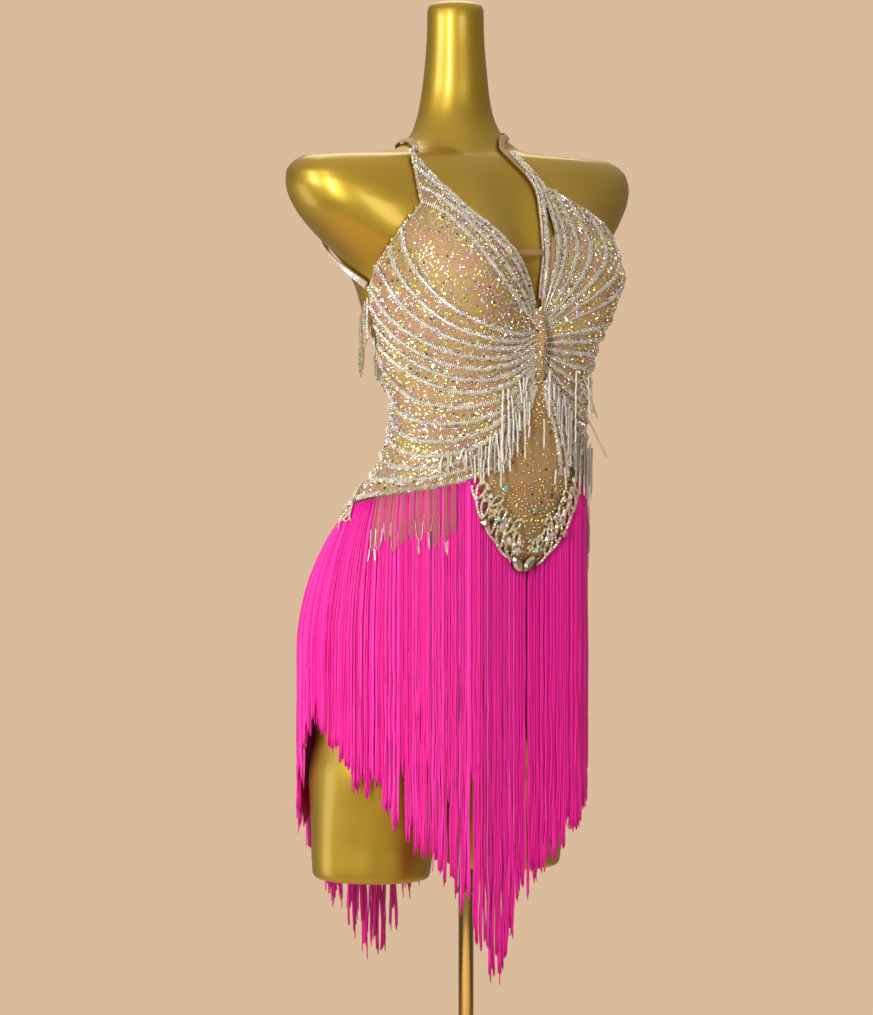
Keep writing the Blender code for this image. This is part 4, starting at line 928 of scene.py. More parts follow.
def with_throat(bearings, height):
    """The form's surface at a level, filled out softly where the neck runs into the chest."""
    bare = skin(bearings, height)
    share = (height - THROAT["foot"]) / (THROAT["head"] - THROAT["foot"])
    if not 0 < share < 1:
        return bare
    rise = 1 - (1 - share) ** THROAT["curve"]
    foot, head = skin(bearings, THROAT["foot"]), skin(bearings, THROAT["head"])
    centre = np.array((0.0, middle(height), 0.0))
    reach = np.linalg.norm((bare - centre)[:, :2], axis=1)
    fuller = np.linalg.norm((foot + (head - foot) * rise - centre)[:, :2], axis=1)
    window = np.clip(1 - np.abs(bearings - THROAT["bearing"]) / THROAT["half"], 0, 1)
    grown = 1 + (3 - 2 * window) * window**2 * np.maximum(fuller - reach, 0) / reach
    return centre + (bare - centre) * np.stack((grown, grown, np.ones(len(grown))), -1)


def form_points():
    """The torso, neck and shoulder caps as rings that split at the crotch into two stumps."""
    left = half_bearings()
    bearings = np.concatenate((left, -left[-2:0:-1]))
    wide, half = len(bearings), len(left)
    heights = np.concatenate([np.arange(*span) for span in RING_LEVELS])
    rings = [with_throat(bearings, height) for height in heights]
    centre = middle(heights[-1])
    for height, share in NECK_TOP:
        rings.append(rings[len(heights) - 1] * (share, share, 0) + (0, (1 - share) * centre, height))
    points = np.concatenate(rings)
    faces = [grid_faces(len(rings), wide, closed=True)]
    top = len(points)
    points = np.concatenate((points, ((0, centre, NECK_TOP[-1][0] + 0.02),)))
    triangles = [fan(np.arange(wide) + (len(rings) - 1) * wide, top)]
    seam = np.arange(INNER_STEPS) + len(points)
    points = np.concatenate((points, leg_ring(CROTCH)[half:]))
    levels = np.concatenate([np.arange(*span) for span in STUMP_LEVELS])
    for side in (1, -1):
        outer = np.arange(half) if side == 1 else np.concatenate(((0,), np.arange(wide - 1, half - 2, -1)))
        ring = np.concatenate((outer, seam))
        stump = [leg_ring(height) for height in levels]
        for rise, share in FOOT_ROUND:
            foot = leg_ring(THIGH_FOOT + rise)
            foot = foot.mean(0) + (foot - foot.mean(0)) * (share, share, 1)
            stump.append(foot)
        fresh = np.arange(len(ring) * len(stump)).reshape(len(stump), -1) + len(points)
        points = np.concatenate((points, np.concatenate(stump) * (side, 1, 1),
                                 stump[-1].mean(0, keepdims=True) * (side, 1, 1)))
        grid = np.concatenate((ring[None], fresh))
        ahead = np.roll(grid, -1, axis=1)
        quads = np.stack((grid[:-1], grid[1:], ahead[1:], ahead[:-1]), -1).reshape(-1, 4)
        faces.append(quads if side == 1 else quads[:, ::-1])
        triangles.append(fan(fresh[-1], len(points) - 1, flip=side == 1))
    return points, [np.concatenate(faces), np.concatenate(triangles)]


class DRESS_OT_form(bpy.types.Operator):
    """Builds the limbless gold form"""
    bl_idname = "dress.form"
    bl_label = "Dress form"

    def execute(self, context):
        points, faces = form_points()
        piece("display_form", points, faces, finish_of("paint"), "gold_form", replaces=("form_body",))
        return {"FINISHED"}


def settle(name, material):
    """Applies the active object's modifiers and place, names it and gives it its finish."""
    thing = bpy.context.object
    for modifier in list(thing.modifiers):
        bpy.ops.object.modifier_apply(modifier=modifier.name)
    bpy.ops.object.transform_apply(location=True, rotation=True, scale=True)
    bpy.ops.object.shade_smooth_by_angle(angle=math.radians(35))
    thing.name = thing.data.name = name
    thing.data.materials.clear()
    thing.data.materials.append(material)
    return thing


def deselect():
    """Leaves nothing selected, so that the next operator acts on its own piece alone."""
    bpy.ops.object.select_all(action="DESELECT")


def turned(name, profile, sides, material):
    """A round piece about the pole: a disc extruded and scaled level by level, as on a lathe."""
    deselect()
    radius_0, height_0 = profile[0]
    bpy.ops.mesh.primitive_circle_add(vertices=sides, radius=radius_0, fill_type="NGON",
                                      location=(0, 0, height_0))
    bpy.ops.object.mode_set(mode="EDIT")
    before = radius_0
    for (distance, height), (_, lower) in zip(profile[1:], profile[:-1]):
        bpy.ops.mesh.extrude_region_move(TRANSFORM_OT_translate={"value": (0, 0, height - lower)})
        bpy.ops.transform.resize(value=(distance / before, distance / before, 1),
                                 center_override=(0, 0, height))
        before = distance
    bpy.ops.mesh.select_all(action="SELECT")
    bpy.ops.mesh.normals_make_consistent(inside=False)
    bpy.ops.object.mode_set(mode="OBJECT")
    bevel = bpy.context.object.modifiers.new("edge", "BEVEL")
    bevel.width, bevel.segments, bevel.limit_method = 0.0006, 2, "ANGLE"
    return settle(name, material)


class DRESS_OT_stand(bpy.types.Operator):
    """Builds the pole and the round base"""
    bl_idname = "dress.stand"
    bl_label = "Stand"

    def execute(self, context):
        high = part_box("stand_base")[1]
        pole_low, pole_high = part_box("stand_pole")
        disc, hub = high.x, 0.022
        base = turned("round_base", (
            (disc - 0.001, 0.0), (disc, 0.001), (disc, 0.006), (disc - 0.0025, 0.008), (0.075, 0.0084),
            (0.040, 0.0092), (hub + 0.004, 0.0105), (hub, 0.014), (hub, high.z - 0.003),
            (hub - 0.003, high.z)), 128, finish_of("metal"))
        finish_piece(base, "gold_metal", ("stand_base",))
        tube = pole_high.x
        pole = turned("pole", (
            (tube, pole_low.z), (tube, pole_high.z - 0.030), (tube + 0.0007, pole_high.z - 0.0295),
            (tube + 0.0007, pole_high.z - 0.024), (tube, pole_high.z - 0.0235), (tube, pole_high.z)),
            64, finish_of("metal"))
        finish_piece(pole, "gold_metal", ("stand_pole",))
        return {"FINISHED"}


# ======== the bodice
ROPE_SHARE = 0.27  # the most of the way to the next rope that a half takes
PUFF, PLEAT = 0.05, 0.06  # swell of the mesh between ropes, and its knot pleats
SAMPLES = 160  # points along a rope
# The slit's gusset: its heights, and how far it goes out along the left front's first line.
GUSSET = dict(foot=125.6, top=131.7, reach=0.6)
TUCK = -0.022  # station at which ropes and mesh end under the knot's tab


def last_row(side_name):
    """The number of a front's lowest row, at the hip edge."""
    return len(FRONTS[side_name][0]["rope"]) - 1


def front_line(side_name, position, stations):
    """Bearings and heights of a line across a front."""
    ropes, side = FRONTS[side_name]
    return rope_curve(ropes, position, stations, side)


def front_grid(side_name):
    """Bearings, heights and lifts over a front: taut mesh that swells between the ropes."""
    last = last_row(side_name)
    position = np.linspace(0, last, 4 * last + 1)[:, None]
    stations = np.concatenate(((TUCK,), np.linspace(0, 1, 57)))[None, :]
    line = front_line(side_name, position, stations)
    swell = PUFF * np.sin(np.pi * position) ** 2 * np.clip(stations * 5, 0, 1)
    pleats = PLEAT * np.cos(2 * np.pi * position * 1.5) * np.exp(-stations * 9)
    return line[..., 0], line[..., 1], OVER_CLOTH + swell + pleats


def grid_patch(name, bearing, height, lift, slot, *nodes):
    """A thin cloth wall over a grid of bearings and heights."""
    outer, inner = (lifted(bearing, height, lift - depth) for depth in (0, WALL))
    return wall_piece(name, outer, inner, slot, *nodes)


def wall_piece(name, outer, inner, slot, *nodes):
    """A closed cloth wall between two equal grids of points, its faces turned to point out."""
    rows, columns = outer.shape[:2]
    normal = np.cross((outer[:, 1:] - outer[:, :-1])[:-1], (outer[1:] - outer[:-1])[:, :-1])
    faces = wall_faces(rows, columns)
    if np.sum(normal * (outer - inner)[:-1, :-1]) < 0:
        faces = faces[:, ::-1]
    u, v = np.meshgrid(np.linspace(0, 1, rows), np.linspace(0, 1, columns), indexing="ij")
    uv = np.tile(np.stack((v, u), -1).reshape(-1, 2), (2, 1))
    return piece(name, wall_points(outer, inner), faces, finish_of("mesh"), slot, uv=uv, replaces=nodes)


def back_grid(rows, columns):
    """Bearings and heights over the low back, from one side seam to the other."""
    share, turn = np.linspace(0, 1, rows)[:, None], np.linspace(0, 1, columns)[None, :]
    inwards = 1 - np.abs(2 * turn - 1)
    seam_height = BACK["top"][0] + (BACK["foot"][0] - BACK["top"][0]) * share
    lean = np.interp(-seam_height, -RIGHT_FRONT["h3"], RIGHT_FRONT["b3"]) + SIDE_SEAM
    size = lean + (180 - lean) * inwards
    top, foot = (np.interp(inwards, BACK["share"], BACK[edge]) for edge in ("top", "foot"))
    return np.where(turn < 0.5, -size, size - 360), top + (foot - top) * share


YOKE_TURN_IN, YOKE_TOP = 1.6, 119.3  # how far the yoke goes under the fronts and the tab


def yoke_grid(rows, columns):
    """Bearings, heights and lifts over the centre yoke, whose edges lie under the fronts."""
    level = np.linspace(-1, len(YOKE["height"]) - 1, rows)
    at = np.arange(-1, len(YOKE["height"]))
    height = np.interp(level, at, (YOKE_TOP, *YOKE["height"]))[:, None]
    spread = np.interp(level, at, (4.0, *YOKE["spread"]))[:, None]
    wide = spread + YOKE_TURN_IN * (height > YOKE["height"][-4])
    wide = wide + 4.5 * np.exp(-((height - 109.2) / 0.9) ** 2)  # more cloth under the fronts' corners
    bearing = wide * np.linspace(-1, 1, columns)[None, :]
    under = np.clip((np.abs(bearing) - spread + 0.3) / YOKE_TURN_IN, 0, 1)
    ripple = 0.025 * np.sin(bearing * 0.55 + height * 0.7) * np.exp(-(height - 99) / 9)
    lift = OVER_CLOTH - (WALL + 0.01) * under + ripple * (1 - under)
    return bearing, np.broadcast_to(height, bearing.shape), lift


def gusset_grid(rows, columns):
    """Bearings and heights of the mesh that fills the foot of the slit beside the left strap."""
    share = np.linspace(0, 1, rows)
    strap = STRAPS["strap_left"][0]
    height = GUSSET["foot"] + (GUSSET["top"] - GUSSET["foot"]) * share
    inside = np.stack((np.interp(height, strap["height"][:6], strap["bearing"][:6]), height), -1)
    outside = front_line("left", 0, GUSSET["reach"] * share)
    across = np.linspace(0, 1, columns)[None, :, None]
    grid = inside[:, None] * (1 - across) + outside[:, None] * across
    return grid[..., 0], grid[..., 1]


def knot_grid(rows, columns):
    """Bearings, heights and lifts over the gathered tab: folds run along it."""
    level = np.linspace(0, len(KNOT["height"]) - 1, rows)
    height, spread, rise = (np.interp(level, np.arange(len(KNOT["height"])), KNOT[k])
                            for k in ("height", "spread", "rise"))
    share = np.linspace(-1, 1, columns)
    bearing = spread[:, None] * share[None, :]
    dome = np.sqrt(np.clip(1 - share**2, 0.06, 1))[None, :] * rise[:, None]
    folds = 0.10 * (0.5 - 0.5 * np.cos(np.pi * 4 * (share + 1)))[None, :] * np.ones((rows, 1))
    lift = OVER_CLOTH + dome + folds
    return bearing, np.broadcast_to(height[:, None], bearing.shape), lift


class DRESS_OT_bodice(bpy.types.Operator):
    """Builds the mesh panels: two fronts, the yoke, the low back and the knot's tab"""
    bl_idname = "dress.bodice"
    bl_label = "Bodice panels"

    def execute(self, context):
        for side_name, (width, length) in (("right", (30, 37)), ("left", (29, 33))):
            front = grid_patch(f"front_{side_name}", *front_grid(side_name), "beaded_mesh",
                               f"bodice_front_{side_name}")
        yoke = grid_patch("centre_yoke", *yoke_grid(52, 49), "nude_mesh", "bodice_centre")
        gusset = grid_patch("slit_gusset", *gusset_grid(13, 9), OVER_CLOTH, "beaded_mesh")
        back = grid_patch("low_back", *back_grid(17, 91), OVER_CLOTH, "nude_mesh", "bodice_back")
        bearing, height, lift = knot_grid(25, 25)
        tab = wall_piece("knot_tab", lifted(bearing, height, lift), lifted(bearing, height, CLEAR),
                         "beaded_mesh", "waist_knot")
        return {"FINISHED"}


# ======== bead ropes and scattered stones
STRINGS = 5  # strings of beads twisted into a rope
TWIST = 1.9  # length of a rope in which its strings wind once round
BEAD_PITCH = 2.05  # spacing of beads along a string, in bead radii
ROPE_PALE, PALE_SHARE = (0.84, 0.785, 0.73), 0.68
CORE_TINT = (0.60, 0.56, 0.46)
WAVER, WAVER_RATES = 0.16, (31.0, 67.0, 113.0)  # how a rope swells and narrows along its length
ROPE_RISE, ROPE_CORE, ROPE_FLAT = 0.16, 0.14, 0.55  # its middle over the cloth, its core, its flatness
THINNEST = 0.42  # the least that a rope narrows to between its neighbours


def rope_crest(side_name, row):
    """Bearings and heights along a rope's crest, and how far it is to the next rope."""
    last = last_row(side_name)
    stations = np.linspace(TUCK, 1, SAMPLES)
    here = front_line(side_name, row, stations)
    before = front_line(side_name, max(row - 1, 0), stations)
    after = front_line(side_name, min(row + 1, last), stations)
    gaps = [np.linalg.norm(skin(*here.T) - skin(*line.T), axis=1) for line in (before, after)]
    pitch = gaps[1] if row == 0 else gaps[0] if row == last else np.minimum(*gaps)
    reach = np.minimum(ROPE_SHARE, 0.36 / np.maximum(pitch, 0.01))[:, None]
    if row == 0:
        here = here + (after - here) * reach
    elif row == last:
        here = here + (before - here) * reach
    return here, pitch


def rope_fill(pitch, size):
    """How full ropes are that lie a pitch apart, as a share of their greatest width."""
    return np.clip(0.46 * pitch / size["rope_half"], THINNEST, 1.0)


def twisted_rope(load, line, pitch, size, rng, lift=OVER_CLOTH, tone=1.0):
    """Strings of cut beads wound about a core, laid along bearings and heights; a painted shade factor
    darkens the tints of all the beads.
    """
    across = size["rope_half"] - size["rope_bead"]
    share = rope_fill(pitch, size)
    span = np.linspace(0, 1, len(line))
    waver = sum(np.sin(span * rate + rng.random() * ANY_TURN) for rate in WAVER_RATES) / 3
    share = share * (1 + WAVER * waver)
    centre = lifted(*line.T, lift + ROPE_RISE * share)
    step = BEAD_PITCH * size["rope_bead"]
    places = resample(np.column_stack((centre, outward(*line.T), share)), step)
    centre, normal, share = places[:, :3], unit(places[:, 3:6]), places[:, 6]
    forward = unit(np.gradient(centre, axis=0))
    side = unit(np.cross(forward, normal))
    load.set_tubes(centre[None, ::3], normal[None, ::3], (ROPE_CORE * share)[None, ::3], 6, CORE_TINT)
    at = np.arange(len(centre)) * step
    phase = rng.random() * ANY_TURN
    for string in range(STRINGS):
        angle = 2 * np.pi * (at / TWIST + string / STRINGS) + phase
        wobble = 1 + rng.normal(0, 0.08, len(at))
        place = (centre + side * (np.cos(angle) * across * share * wobble)[:, None]
                 + normal * (np.sin(angle) * ROPE_FLAT * across * share * wobble)[:, None])
        lead = unit(np.gradient(place, axis=0))
        bead = size["rope_bead"] * np.clip(share, 0.62, 1.0) * (1 + rng.normal(0, 0.06, len(at)))
        spin = unit(np.cross(lead, unit(normal + rng.normal(0, 0.5, normal.shape))))
        frame_ = np.stack((spin * bead[:, None], np.cross(lead, spin) * bead[:, None],
                           lead * (1.05 * bead)[:, None]), -1)
        tints = coating(len(at), rng)
        pale = rng.random(len(at)) < PALE_SHARE
        shade = 1.12 - 0.75 * np.repeat(rng.random(len(at) // 2 + 1), 2)[:len(at)] ** 1.6
        tints[pale] = np.array(ROPE_PALE) * shade[pale, None]
        load.set_shapes(BEAD, place, frame_, tints * tone)


class DRESS_OT_ropes(bpy.types.Operator):
    """Lays twisted bead ropes from the knot across both fronts"""
    bl_idname = "dress.ropes"
    bl_label = "Bead ropes"

    def execute(self, context):
        size = sizes()
        for side_name, (ropes, _) in FRONTS.items():
            rng, load = rng_for("ropes" + side_name), Load()
            # painted shade: the left front's ropes are darkened, as the side that turns away from the lamps
            tone = 0.82 if side_name == "left" else 0.97
            for row in np.flatnonzero(ropes["rope"]):
                line, pitch = rope_crest(side_name, int(row))
                twisted_rope(load, line, pitch, size, rng, tone=tone)
            for rows in EDGE_ROPES[side_name]:
                twisted_rope(load, spline(rows, SAMPLES), np.full(SAMPLES, 0.72), size, rng)
            for rows in STRAP_ROPES if side_name == "left" else ():
                twisted_rope(load, spline(rows, SAMPLES), np.full(SAMPLES, 0.66), size, rng, 0.40)
            load.make(f"ropes_{side_name}", "silver")
        return {"FINISHED"}


TRIES = 60000  # places tried for the stones of a front
BIG_SHARE, BIG_SIZE = 0.08, 1.55  # stones of the larger size among them
CHAIN_RADIUS, METAL_TINT = 0.13, (0.74, 0.70, 0.60)


def one_per_cell(points, cell, rng):
    """Numbers of points kept so that each small cell of space holds one."""
    order = rng.permutation(len(points))
    keys = np.floor(points[order] / cell).astype(np.int64)
    _, first = np.unique(keys[:, 0] * 73856093 + keys[:, 1] * 19349663 + keys[:, 2] * 83492791,
                         return_index=True)
    return order[first]


def set_stones(load, points, normals, radii, rng, shape=STONE, tints=None):
    """Flat-back stones on a surface, each a little tilted and turned."""
    tilted = unit(normals + rng.normal(0, 0.10, normals.shape))
    frames_ = frames_on(tilted, rng.random(len(points)) * ANY_TURN, radii, radii)
    load.set_shapes(shape, points, frames_, coating(len(points), rng) if tints is None else tints)


def zoned_coating(points, rng):
    """Coating colours that gather: patches of lime and patches of violet among the rest."""
    wave = (np.sin(points[:, 0] * 1.1 + points[:, 2] * 0.8)
            + np.sin(points[:, 2] * 1.9 - points[:, 0] * 0.7 + 1.0))
    tints, chance = coating(len(points), rng), rng.random(len(points))
    tints[(wave > 0.8) & (chance < 0.5)] = (0.78, 0.84, 0.28)
    tints[(wave < -0.6) & (chance < 0.5)] = (0.80, 0.50, 0.80)
    return tints


def front_stones(load, side_name, size, rng):
    """Stones over the mesh between the ropes: close beside them, looser in the widest gap."""
    last = last_row(side_name)
    position, station = rng.random(TRIES) * last, 0.03 + 0.97 * rng.random(TRIES)
    line = front_line(side_name, position, station)
    points = skin(*line.T)
    row = np.round(position).astype(int)
    above, rope, below = (skin(*front_line(side_name, np.clip(row + k, 0, last), station).T)
                          for k in (-1, 0, 1))
    from_rope = np.linalg.norm(points - rope, axis=1)
    beside = np.linalg.norm(below - above, axis=1) / 2
    plain = FRONTS[side_name][0]["rope"][row] < 1
    clear = plain | (from_rope > rope_fill(beside, size) * size["rope_half"] * 0.9)
    loose = np.minimum(from_rope, 1.0) > 0.75
    kept = []
    for chosen, cell in ((clear & ~loose, size["stone_gap"]), (clear & loose, 1.45 * size["stone_gap"])):
        index = np.flatnonzero(chosen)
        kept.append(index[one_per_cell(points[index], cell, rng)])
    kept = np.concatenate(kept)
    line = line[kept]
    swell = PUFF * np.sin(np.pi * position[kept]) ** 2
    radii = size["stone"] * (0.65 + 0.6 * rng.random(len(kept)))
    big = rng.random(len(kept)) < BIG_SHARE
    radii[big] *= BIG_SIZE
    places = lifted(*line.T, OVER_CLOTH + swell)
    tints = zoned_coating(places, rng)
    tints[big] = np.where(rng.random((big.sum(), 1)) < 0.6, (0.84, 0.88, 0.34), (0.88, 0.86, 0.80))
    set_stones(load, places, outward(*line.T), radii, rng, tints=tints)


def stone_chain(load, path, normals, radius_, rng, tints=None, gap=2.25):
    """A cup chain: stones in a row along points, on a thin metal strip."""
    rows = np.column_stack((path, normals))
    places = resample(rows, gap * radius_)
    points, normal = places[:, :3], unit(places[:, 3:6])
    forward = unit(np.gradient(points, axis=0))
    first = unit(np.cross(forward, normal))
    frames_ = np.stack((first * radius_, np.cross(normal, first) * radius_, normal * radius_), -1)
    load.set_tubes(points[None], normal[None], np.full((1, len(points)), 0.62 * radius_), 4,
                   METAL_TINT)
    coats = coating(len(points), rng)
    if tints is not None:
        coats = tints * (0.4 * coats + 0.6 * rng.uniform(0.5, 1.3, (len(points), 1)))
    load.set_shapes(CHAIN_STONE, points + normal * (0.35 * radius_), frames_, coats)


class DRESS_OT_stones(bpy.types.Operator):
    """Scatters coated stones over the mesh and edges it with stone chains"""
    bl_idname = "dress.stones"
    bl_label = "Scattered stones"

    def execute(self, context):
        size = sizes()
        for side_name in FRONTS:
            rng, load = rng_for("stones" + side_name), Load()
            front_stones(load, side_name, size, rng)
            edge = front_line(side_name, np.linspace(0, last_row(side_name), 120), 0.992)
            stone_chain(load, lifted(*edge.T, OVER_CLOTH + 0.05), outward(*edge.T), CHAIN_RADIUS, rng)
            load.make(f"stones_{side_name}", "crystal")
        for name, fill in (("beads_centre", self.yoke_stones), ("stones_centre", self.knot_stones),
                           ("stones_back", self.back_stones)):
            rng, load = rng_for(name.replace("_", " ")), Load()
            fill(load, rng)
            load.make(name, "crystal", smooth=name.startswith("beads"))
        return {"FINISHED"}

    def yoke_stones(self, load, rng):
        """Sparse round beads over the yoke, closer together and mixed in size towards its point."""
        bearing, height, lift = yoke_grid(140, 90)
        points = lifted(bearing, height, lift).reshape(-1, 3)
        inside = (np.abs(bearing) < np.interp(-height, -YOKE["height"], YOKE["spread"]) - 1.0).ravel()
        dense = np.interp(height, (101.5, 105.5, 108.0, 114.0, 116.5), (0.60, 0.66, 0.90, 0.90, 0.55)).ravel()
        kept = []
        for level in np.arange(0.54, 0.96, 0.08):
            index = np.flatnonzero(inside & (np.abs(dense - level) < 0.04))
            if len(index):
                kept.append(index[one_per_cell(points[index], level * 0.9, rng)])
        kept = np.concatenate(kept)
        normals = outward(bearing.ravel()[kept], height.ravel()[kept])
        radii = 0.13 + 0.05 * rng.random(len(kept)) + 0.05 * (dense[kept] < 0.7) * rng.random(len(kept))
        tints = coating(len(kept), rng) * (0.86, 0.74, 0.48)
        set_stones(load, points[kept], normals, radii, rng, DOME, tints)

    def knot_stones(self, load, rng):
        """Stones packed over the tab's folds."""
        bearing, height, lift = knot_grid(81, 61)
        grid = lifted(bearing, height, lift)
        points = grid.reshape(-1, 3)
        normals = unit(np.cross(np.gradient(grid, axis=0), np.gradient(grid, axis=1)))
        normals = normals * np.sign(np.sum(normals * outward(bearing, height), -1, keepdims=True))
        kept = one_per_cell(points, 0.40, rng)
        set_stones(load, points[kept], normals.reshape(-1, 3)[kept],
                   0.09 + 0.09 * rng.random(len(kept)), rng, tints=zoned_coating(points[kept], rng))

    def back_stones(self, load, rng):
        """Three stone chains along the low back's edges and a loose scatter between."""
        bearing, height = back_grid(61, 241)
        for row in (2, 14, 57):
            stone_chain(load, lifted(bearing[row], height[row], OVER_CLOTH + 0.02),
                        outward(bearing[row], height[row]), CHAIN_RADIUS, rng)
        points = lifted(bearing, height, OVER_CLOTH)[18:54].reshape(-1, 3)
        normals = outward(bearing, height)[18:54].reshape(-1, 3)
        kept = one_per_cell(points, 0.62, rng)
        set_stones(load, points[kept], normals[kept], 0.08 + 0.05 * rng.random(len(kept)), rng)


# ======== straps
STRAP_LIFT, STRAP_WALL, STRAP_STEPS = 0.26, 0.08, 140
STRAP_TINT = np.array((0.86, 0.76, 0.88))


def ribbon(rows, count):
    """Points, normals and sideways directions along a path laid on the form."""
    path = spline(rows, count)
    points, normals = skin(path[:, 0], path[:, 1]), outward(path[:, 0], path[:, 1])
    side = unit(np.cross(normals, np.gradient(points, axis=0)))
    return points, normals, side


class DRESS_OT_straps(bpy.types.Operator):
    """Builds the elastic straps, the bridge across the neckline and the stones on them"""
    bl_idname = "dress.straps"
    bl_label = "Straps"

    def execute(self, context):
        rng, load = rng_for("strap stones"), Load()
        for name, (rows, start, end, beaded) in STRAPS.items():
            points, normals, side = ribbon(rows, STRAP_STEPS)
            half = np.linspace(start, end, STRAP_STEPS)[:, None]
            across = np.linspace(-1, 1, 7)
            crown = 0.03 * (1 - across**2)[None, :, None] * normals[:, None]
            base = points[:, None] + side[:, None] * half[:, None] * across[None, :, None]
            inner = base + normals[:, None] * STRAP_LIFT
            wall_piece(f"elastic_{name}", inner + normals[:, None] * STRAP_WALL + crown, inner,
                       "nude_mesh", name)
            top = points + normals * (STRAP_LIFT + STRAP_WALL + 0.05)
            for share in (-0.62, 0.0, 0.62) if name == "strap_back" else (-0.55, 0.55):
                stone_chain(load, (top + side * half * share)[:beaded], normals[:beaded], CHAIN_RADIUS,
                            rng, STRAP_TINT)
        load.make("strap_stones", "silver")
        self.bridge()
        return {"FINISHED"}

    def bridge(self):
        """A flat elastic bar from one neckline to the other, bowed a little away from the form."""
        across, up = np.linspace(0, 1, 21)[None, :, None], np.linspace(-1, 1, 7)[:, None, None]
        right, left = (np.array((*BRIDGE[side], BRIDGE["height"])) for side in ("right", "left"))
        line = right + (left - right) * across
        bow = BRIDGE["thick"] / 2 + 0.08 * np.sin(np.pi * across) + 0.03 * (1 - up**2)
        line = line + (0, 0, BRIDGE["tall"] / 2) * up
        wall_piece("elastic_bridge", line - (0, 1, 0) * bow, line + (0, BRIDGE["thick"] / 2, 0),
                   "nude_mesh", "strap_bridge")


# ======== lace and set stones
LACE_STONE, HIP_STONE = 0.18, 0.105  # radius of the chain stones at the yoke's point, at the hips
LACE_TINT = np.array((0.74, 0.66, 0.50))


def lace_place(path):
    """A function from a lace band's own plane (along, across) to turns and heights about the hips."""
    turn = about_hips(path[:, 0], path[:, 1])
    girths = float(np.mean(hang(turn, path[:, 1], path[:, 1])))
    flat = np.stack((np.radians(turn) * girths, path[:, 1]), -1)
    at = length_along(flat)
    forward = unit(np.gradient(flat, axis=0))

    def place(along, across):
        ahead = unit(between(along, at, forward))
        aside = np.stack((-ahead[:, 1], ahead[:, 0]), -1)
        spot = between(along, at, flat) + aside * np.asarray(across)[:, None]
        return np.degrees(spot[:, 0] / girths), spot[:, 1]

    return place, at[-1]


def on_lace(turn, height, lift):
    """Points and normals over whatever a lace band lies on."""
    point = over_fringe(turn, height, lift)
    below = over_fringe(turn, height - 0.4, lift)
    beside = over_fringe(turn + 1.0, height, lift)
    return point, unit(np.cross(beside - point, point - below))


def leaf_loop(along, across, tilt, length, width):
    """The outline of a leaf in the band's plane."""
    t = np.linspace(0.0, 2 * np.pi, 37)
    x = length / 2 * np.cos(t)
    y = width / 2 * np.sin(t) * (1 - 0.42 * np.cos(t))
    return (along + x * math.cos(tilt) - y * math.sin(tilt),
            across + x * math.sin(tilt) + y * math.cos(tilt))


def scroll(along, across, start, size, way, turns=1.45):
    """A spiral in the band's plane that winds in to its eye."""
    t = np.linspace(0, 1, 40)
    reach, angle = size * (1 - 0.78 * t), start + way * turns * 2 * np.pi * t
    return along + reach * np.cos(angle), across + reach * np.sin(angle)


def v_lace_lines(length, tip):
    """Chains of one arm of the V: leaves that lean to the tip, scrolls above them, two edges."""
    lines, lean = [], 1 if tip > 0 else -1
    at = (lambda x: x) if tip > 0 else (lambda x: length - x)
    edge = np.linspace(0.2, length - 0.1, 60)
    lines.append((at(edge), -0.86 - 0.20 * np.abs(np.sin(edge * 1.45 + 0.5))))
    for k, x in enumerate(np.arange(0.9, length - 0.8, 1.75)):
        lines.append(leaf_loop(at(x), -0.28, -lean * 0.62, 1.75, 0.82))
        lines.append(scroll(at(x + 0.85), 0.20, 0.6 + k, 0.46, lean * (1 if k % 2 else -1)))
    # the second row stands on the first
    for k, x in enumerate(np.arange(2.4, length - 0.6, 1.75)):
        inward = min(1.0, 0.42 * x)
        lines.append(leaf_loop(at(x), 0.30 + 0.75 * inward, -lean * (1.15 - 0.5 * (k % 2)), 1.45, 0.78))
        lines.append(scroll(at(x + 0.85), 0.62 + 0.60 * inward, k * 2.1, 0.42, -lean, 1.1))
    lines.append(scroll(at(6.4), 2.0, 1.0, 0.75, lean, 1.2))
    return lines


def hip_lace_lines(length, way):
    """Chains of a hip band: a lattice of small pointed loops with scrolls along the top."""
    edge = np.linspace(0.1, length - 0.1, 60)
    lines = [(edge, 0.88 + 0.12 * np.cos(edge * 3.4)), (edge, -0.80 - 0.26 * np.abs(np.sin(edge * 1.7)))]
    for k, x in enumerate(np.arange(0.7, length - 0.4, 1.15)):
        lines.append(leaf_loop(x, -0.40, way * 1.25, 1.05, 0.62))
        lines.append(leaf_loop(x + 0.55, 0.28, way * 1.9, 0.95, 0.50))
        lines.append(scroll(x + 0.1, 0.52, k * 1.3, 0.26, way, 1.0))
    return lines


# Sizes of the set stones and their cups in metres: half width, half length, share of the width at the
# top and depth of the leaves; radius, share, depth and number of sides of the round ones.
LEAF_CUP, LEAF_CUT = (0.0068, 0.0112, 0.94, 0.0016), (0.0062, 0.0105, 0.50, 0.0034)
ROUND_CUP, ROUND_CUT = (0.0052, 0.94, 0.0017, 24), (0.0046, 0.56, 0.0034, 10)
CUP_FLOOR = 0.0008  # from a cup's foot up to its stone


def lens_stone(half_width, half_length, table_share, depth):
    """A marquise stone: what two flat cones that overlap have in common."""
    big = (half_length**2 + half_width**2) / (2 * half_width)
    offset = big - half_width
    small = offset + half_width * table_share
    pair = []
    for side in (1, -1):
        deselect()
        bpy.ops.mesh.primitive_cone_add(vertices=20, radius1=big, radius2=small, depth=depth,
                                        location=(side * offset, 0, depth / 2))
        pair.append(bpy.context.object)
    common = pair[1].modifiers.new("common", "BOOLEAN")
    common.operation, common.object = "INTERSECT", pair[0]
    bpy.ops.object.modifier_apply(modifier=common.name)
    bpy.data.objects.remove(pair[0], do_unlink=True)
    return pair[1]


